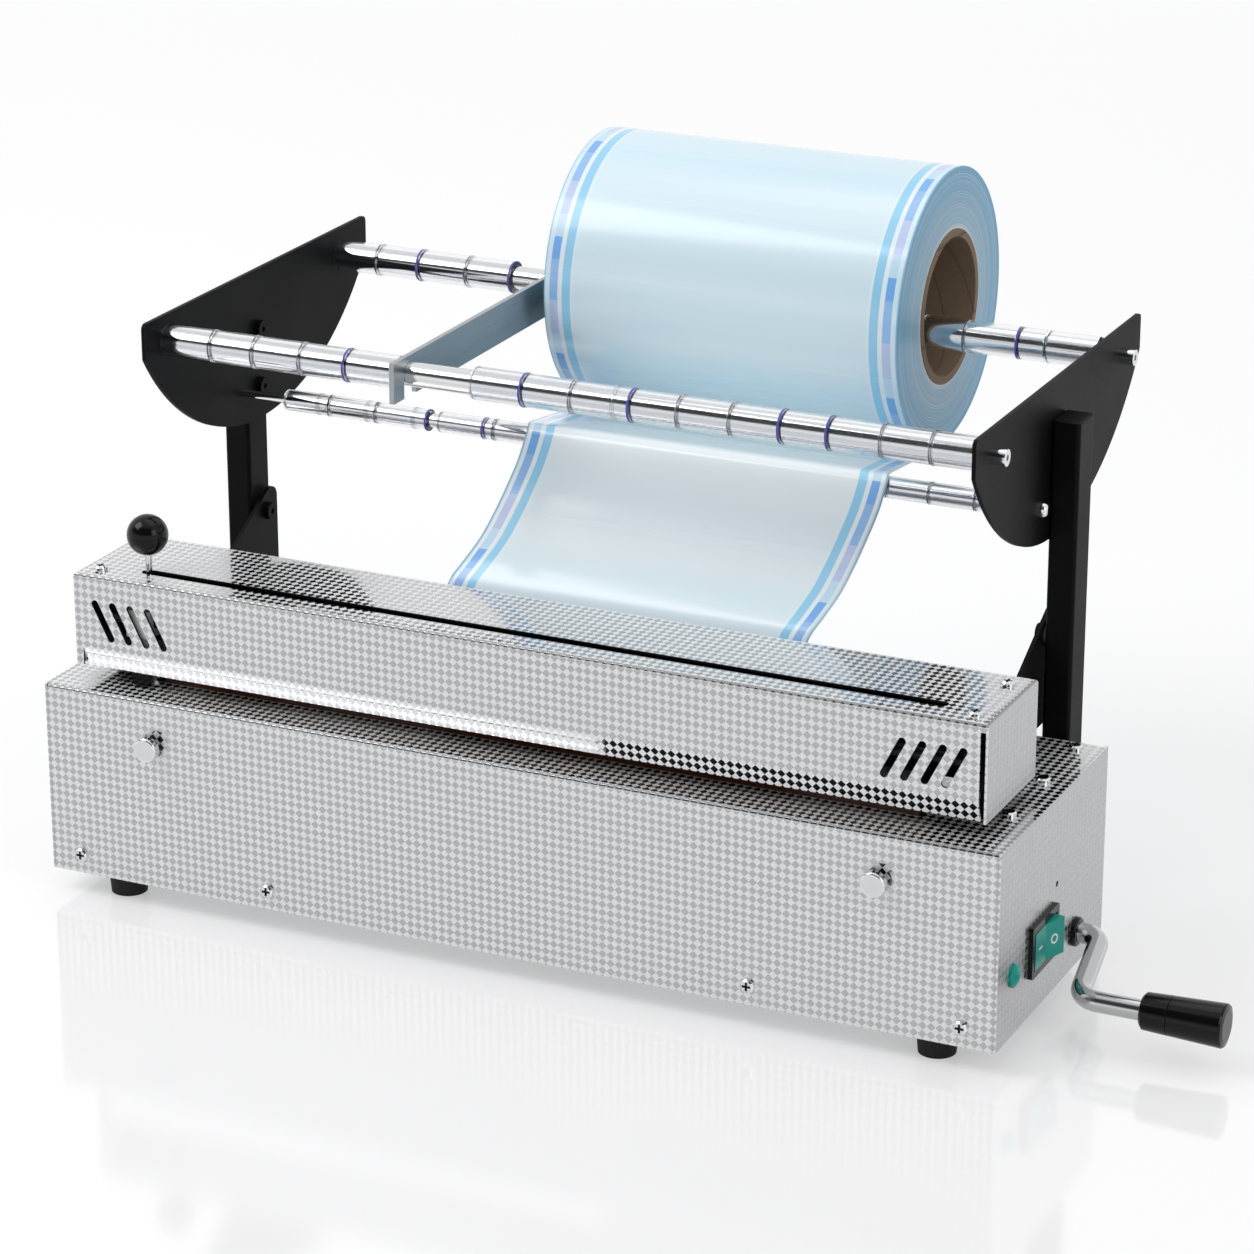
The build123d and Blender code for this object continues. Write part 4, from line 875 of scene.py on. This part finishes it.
def make_jaw():
    """The folded cover, its slot and vents as wide as in the photo, left front corner shut."""
    low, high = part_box("jaw_cover")
    stem_low, stem_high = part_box("cutter_stem")
    middle_x = (low[0] + high[0]) / 2
    fill = bmesh.new()
    fill_centre = (
        low[0] + (cover_sheet + 1.3) / 1000,
        low[1] + cover_sheet / 2000,
        low[2] + corner_fill_rise / 1000,
    )
    block(fill, corner_fill, Matrix.Translation(fill_centre))
    shape = combined(merged_copy("jaw_cover"), fill, "UNION", 0)
    cutter = bmesh.new()
    for side in (-1, 1):
        for count in range(vent_count):
            x = middle_x + side * (first_vent_x - vent_pitch * count) / 1000
            place = Matrix.Translation((x, low[1], low[2] + vent_rise / 1000))
            lean = math.radians(90 - side * vent_lean)
            turn = Matrix.Rotation(-lean, 4, "Y") @ Matrix.Rotation(math.pi / 2, 4, "X")
            round_slot(cutter, vent_length, vent_width, cut_depth, place @ turn)
    slot_y = (stem_low[1] + stem_high[1]) / 2
    place = Matrix.Translation((middle_x + slot_shift / 1000, slot_y, high[2]))
    round_slot(cutter, slot_length, slot_width, cut_depth, place)
    # The vent and slot walls cut here take the nearly black steel: painted shade.
    shape = combined(shape, cutter, "DIFFERENCE")
    middle = (Vector(low) + Vector(high)) / 2
    half = (Vector(high) - Vector(low)) / 2
    # The cover's inner faces take it too: painted shade inside.
    for face in shape.faces:
        offset = face.calc_center_median() - middle
        axis = max(range(3), key=lambda k: abs(face.normal[k]))
        if face.normal[axis] * offset[axis] < 0 and abs(offset[axis]) > 0.5 * half[axis]:
            face.material_index = 1
    made = piece("jaw_shell", shape, "base", ["jaw_steel", "dark_steel"], 8)
    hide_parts("jaw_cover")


make_jaw()


def islands(shape):
    """Groups of joined vertices, in the order of their first vertices."""
    reached = set()
    for start in shape.verts:
        if start in reached:
            continue
        reached.add(start)
        group = [start]
        for vert in group:
            for edge in vert.link_edges:
                other = edge.other_vert(vert)
                if other not in reached:
                    reached.add(other)
                    group.append(other)
        yield group


def make_screw_heads(name, node, axis):
    """Screws with a cross recess in each head; the axis is the one the heads face along."""
    recess_width = 1.2
    recess_length = 4.4
    recess_depth = 2.4
    shape = merged_copy(node)
    low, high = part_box("base_cover")
    middle = (low[axis] + high[axis]) / 2
    cutter = bmesh.new()
    for group in islands(shape):
        corner_low = [min(vert.co[k] for vert in group) for k in range(3)]
        corner_high = [max(vert.co[k] for vert in group) for k in range(3)]
        centre = Vector([(a + b) / 2 for a, b in zip(corner_low, corner_high)])
        outer = corner_high if centre[axis] > middle else corner_low
        centre[axis] = outer[axis]
        for long in range(3):
            if long != axis:
                size = [recess_width] * 3
                size[axis] = recess_depth
                size[long] = recess_length
                block(cutter, size, Matrix.Translation(centre))
    # The recess walls take the nearly black steel: painted shade in the recesses.
    shape = combined(shape, cutter, "DIFFERENCE")
    made = piece(name, shape, "base", ["chrome", "dark_steel"])
    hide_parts(node)


make_screw_heads("cross_head_screws", "base_screws", 1)
make_screw_heads("top_cross_screws", "top_screws", 2)
make_screw_heads("cover_cross_screws", "cover_screws", 2)


def make_rocker_marks():
    """A stroke on the front half of the rocker and a ring on the rear half, printed on it."""
    low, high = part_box("switch_rocker")
    middle = (low[2] + high[2]) / 2 * 1000
    valley = at(252.5, -15.15, middle)
    up = Vector((0, 0, 1))
    shape = bmesh.new()

    along = (at(252.5, -28.35, middle) - valley).normalized()
    turn = Matrix((along, Vector((1, 0, 0)), up)).transposed().to_4x4()
    stroke = bmesh.ops.create_cube(shape, size=1.0)["verts"]
    bmesh.ops.scale(shape, verts=stroke, vec=(0.0044, 0.00016, 0.0010))
    centre = valley + along * 0.0066
    bmesh.ops.transform(shape, verts=stroke, matrix=Matrix.Translation(centre) @ turn)

    along = (at(257.01, -2.74, middle) - valley).normalized()
    half_print = 0.0001
    inner = 0.0016
    outer = 0.0025
    profile = [(-half_print, inner), (half_print, inner), (half_print, outer), (-half_print, outer)]
    turned(shape, profile, valley + along * 0.0062, along.cross(up), 40)
    marks = piece("rocker_marks", shape, "rocker", ["white_plastic"])


make_rocker_marks()


def make_springs():
    """Return springs, smooth shaded, on a mesh of their own."""
    coils = piece("coil_springs", merged_copy("return_springs"), "base", ["spring_steel"], 40)
    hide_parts("return_springs")
    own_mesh(coils)


make_springs()


def make_lamp_ring():
    """Black collar between the pilot lamp and the end panel."""
    low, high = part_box("pilot_lamp")
    centre = Vector((cover_high[0], (low[1] + high[1]) / 2, (low[2] + high[2]) / 2))
    radius = 0.0058
    outer = radius + 0.0008
    shape = bmesh.new()
    profile = [
        (0.0, radius),
        (0.0007, radius),
        (0.001, radius + 0.0003),
        (0.0007, outer),
        (0.0, outer),
    ]
    turned(shape, profile, centre, (1, 0, 0), 48)
    ring = piece("lamp_ring", shape, "base", ["black_plastic"])


make_lamp_ring()


# Floor, backdrop and light

floor_glow = 0.365
room_light = 0.5


def white_share(tree):
    """1 for rays from the camera, off metal and through glass, 0 for the rest."""
    path = add(tree, "LightPath").outputs
    seen = calc(tree, "MAXIMUM", path["Is Camera Ray"], path["Is Glossy Ray"])
    return calc(tree, "MAXIMUM", seen, path["Is Transmission Ray"])


def make_stage():
    """Glossy white floor that mirrors the object faintly."""
    made = bpy.data.materials.new("white_floor")
    made.use_nodes = True
    tree = made.node_tree
    shader = tree.nodes["Principled BSDF"]
    shader.inputs["Base Color"].default_value = (0.62, 0.62, 0.63, 1)
    shader.inputs["Roughness"].default_value = 0.09
    shader.inputs["IOR"].default_value = 1.7
    shader.inputs["Emission Color"].default_value = (1, 1, 1, 1)
    link(tree, calc(tree, "MULTIPLY", white_share(tree), floor_glow), shader, "Emission Strength")
    mesh = bpy.data.meshes.new("floor")
    shape = bmesh.new()
    bmesh.ops.create_grid(shape, x_segments=2, y_segments=2, size=6.0)
    shape.to_mesh(mesh)
    shape.free()
    floor = bpy.data.objects.new("floor", mesh)
    mesh.materials.append(made)
    bpy.context.scene.collection.objects.link(floor)


def make_world():
    """White studio; the room in front and above is dark in reflections, as behind a camera."""
    world = bpy.data.worlds.new("studio")
    bpy.context.scene.world = world
    world.use_nodes = True
    tree = world.node_tree
    tree.nodes.clear()
    output = add(tree, "OutputWorld")
    path = add(tree, "LightPath").outputs
    way = add(tree, "SeparateXYZ", Vector=add(tree, "TexCoord").outputs["Generated"]).outputs
    front = spread(tree, way[1], -0.15, -0.45)
    rising = spread(tree, way[2], 0.12, 0.3)
    falling = spread(tree, way[2], 0.92, 0.75)
    room = calc(tree, "MULTIPLY", calc(tree, "MULTIPLY", front, rising), falling)
    unseen = calc(tree, "SUBTRACT", 1.0, path["Is Camera Ray"])
    glossy = calc(tree, "MULTIPLY", path["Is Glossy Ray"], unseen)
    dark = calc(tree, "MULTIPLY", room, calc(tree, "MULTIPLY", glossy, 0.93))
    plain = add(tree, "Background", Color=(1, 1, 1, 1), Strength=room_light)
    bright = add(tree, "Background", Color=(1, 1, 1, 1))
    link(tree, calc(tree, "SUBTRACT", 1.0, dark), bright, "Strength")
    blend = add(tree, "MixShader")
    tree.links.new(white_share(tree), blend.inputs[0])
    tree.links.new(plain.outputs[0], blend.inputs[1])
    tree.links.new(bright.outputs[0], blend.inputs[2])
    tree.links.new(blend.outputs[0], output.inputs[0])


def softbox(name, place, target, size, power):
    """A square studio lamp that faces the target; sizes in metres, power in watts."""
    data = bpy.data.lights.new(name, "AREA")
    data.shape = "RECTANGLE"
    data.size = size[0]
    data.size_y = size[1]
    data.energy = power
    lamp = bpy.data.objects.new(name, data)
    bpy.context.scene.collection.objects.link(lamp)
    lamp.location = place
    lamp.rotation_euler = (Vector(target) - Vector(place)).to_track_quat("-Z", "Y").to_euler()


make_stage()
make_world()
softbox("key_light", (-1.49, -1.0, 1.96), (0, 0, 0.15), (1.4, 1.2), 25)
softbox("fill_light", (1.9, -0.9, 1.2), (0, 0, 0.15), (1.0, 1.2), 8)
softbox("top_light", (0.1, 0.3, 2.2), (0, 0, 0.1), (1.8, 1.2), 6)
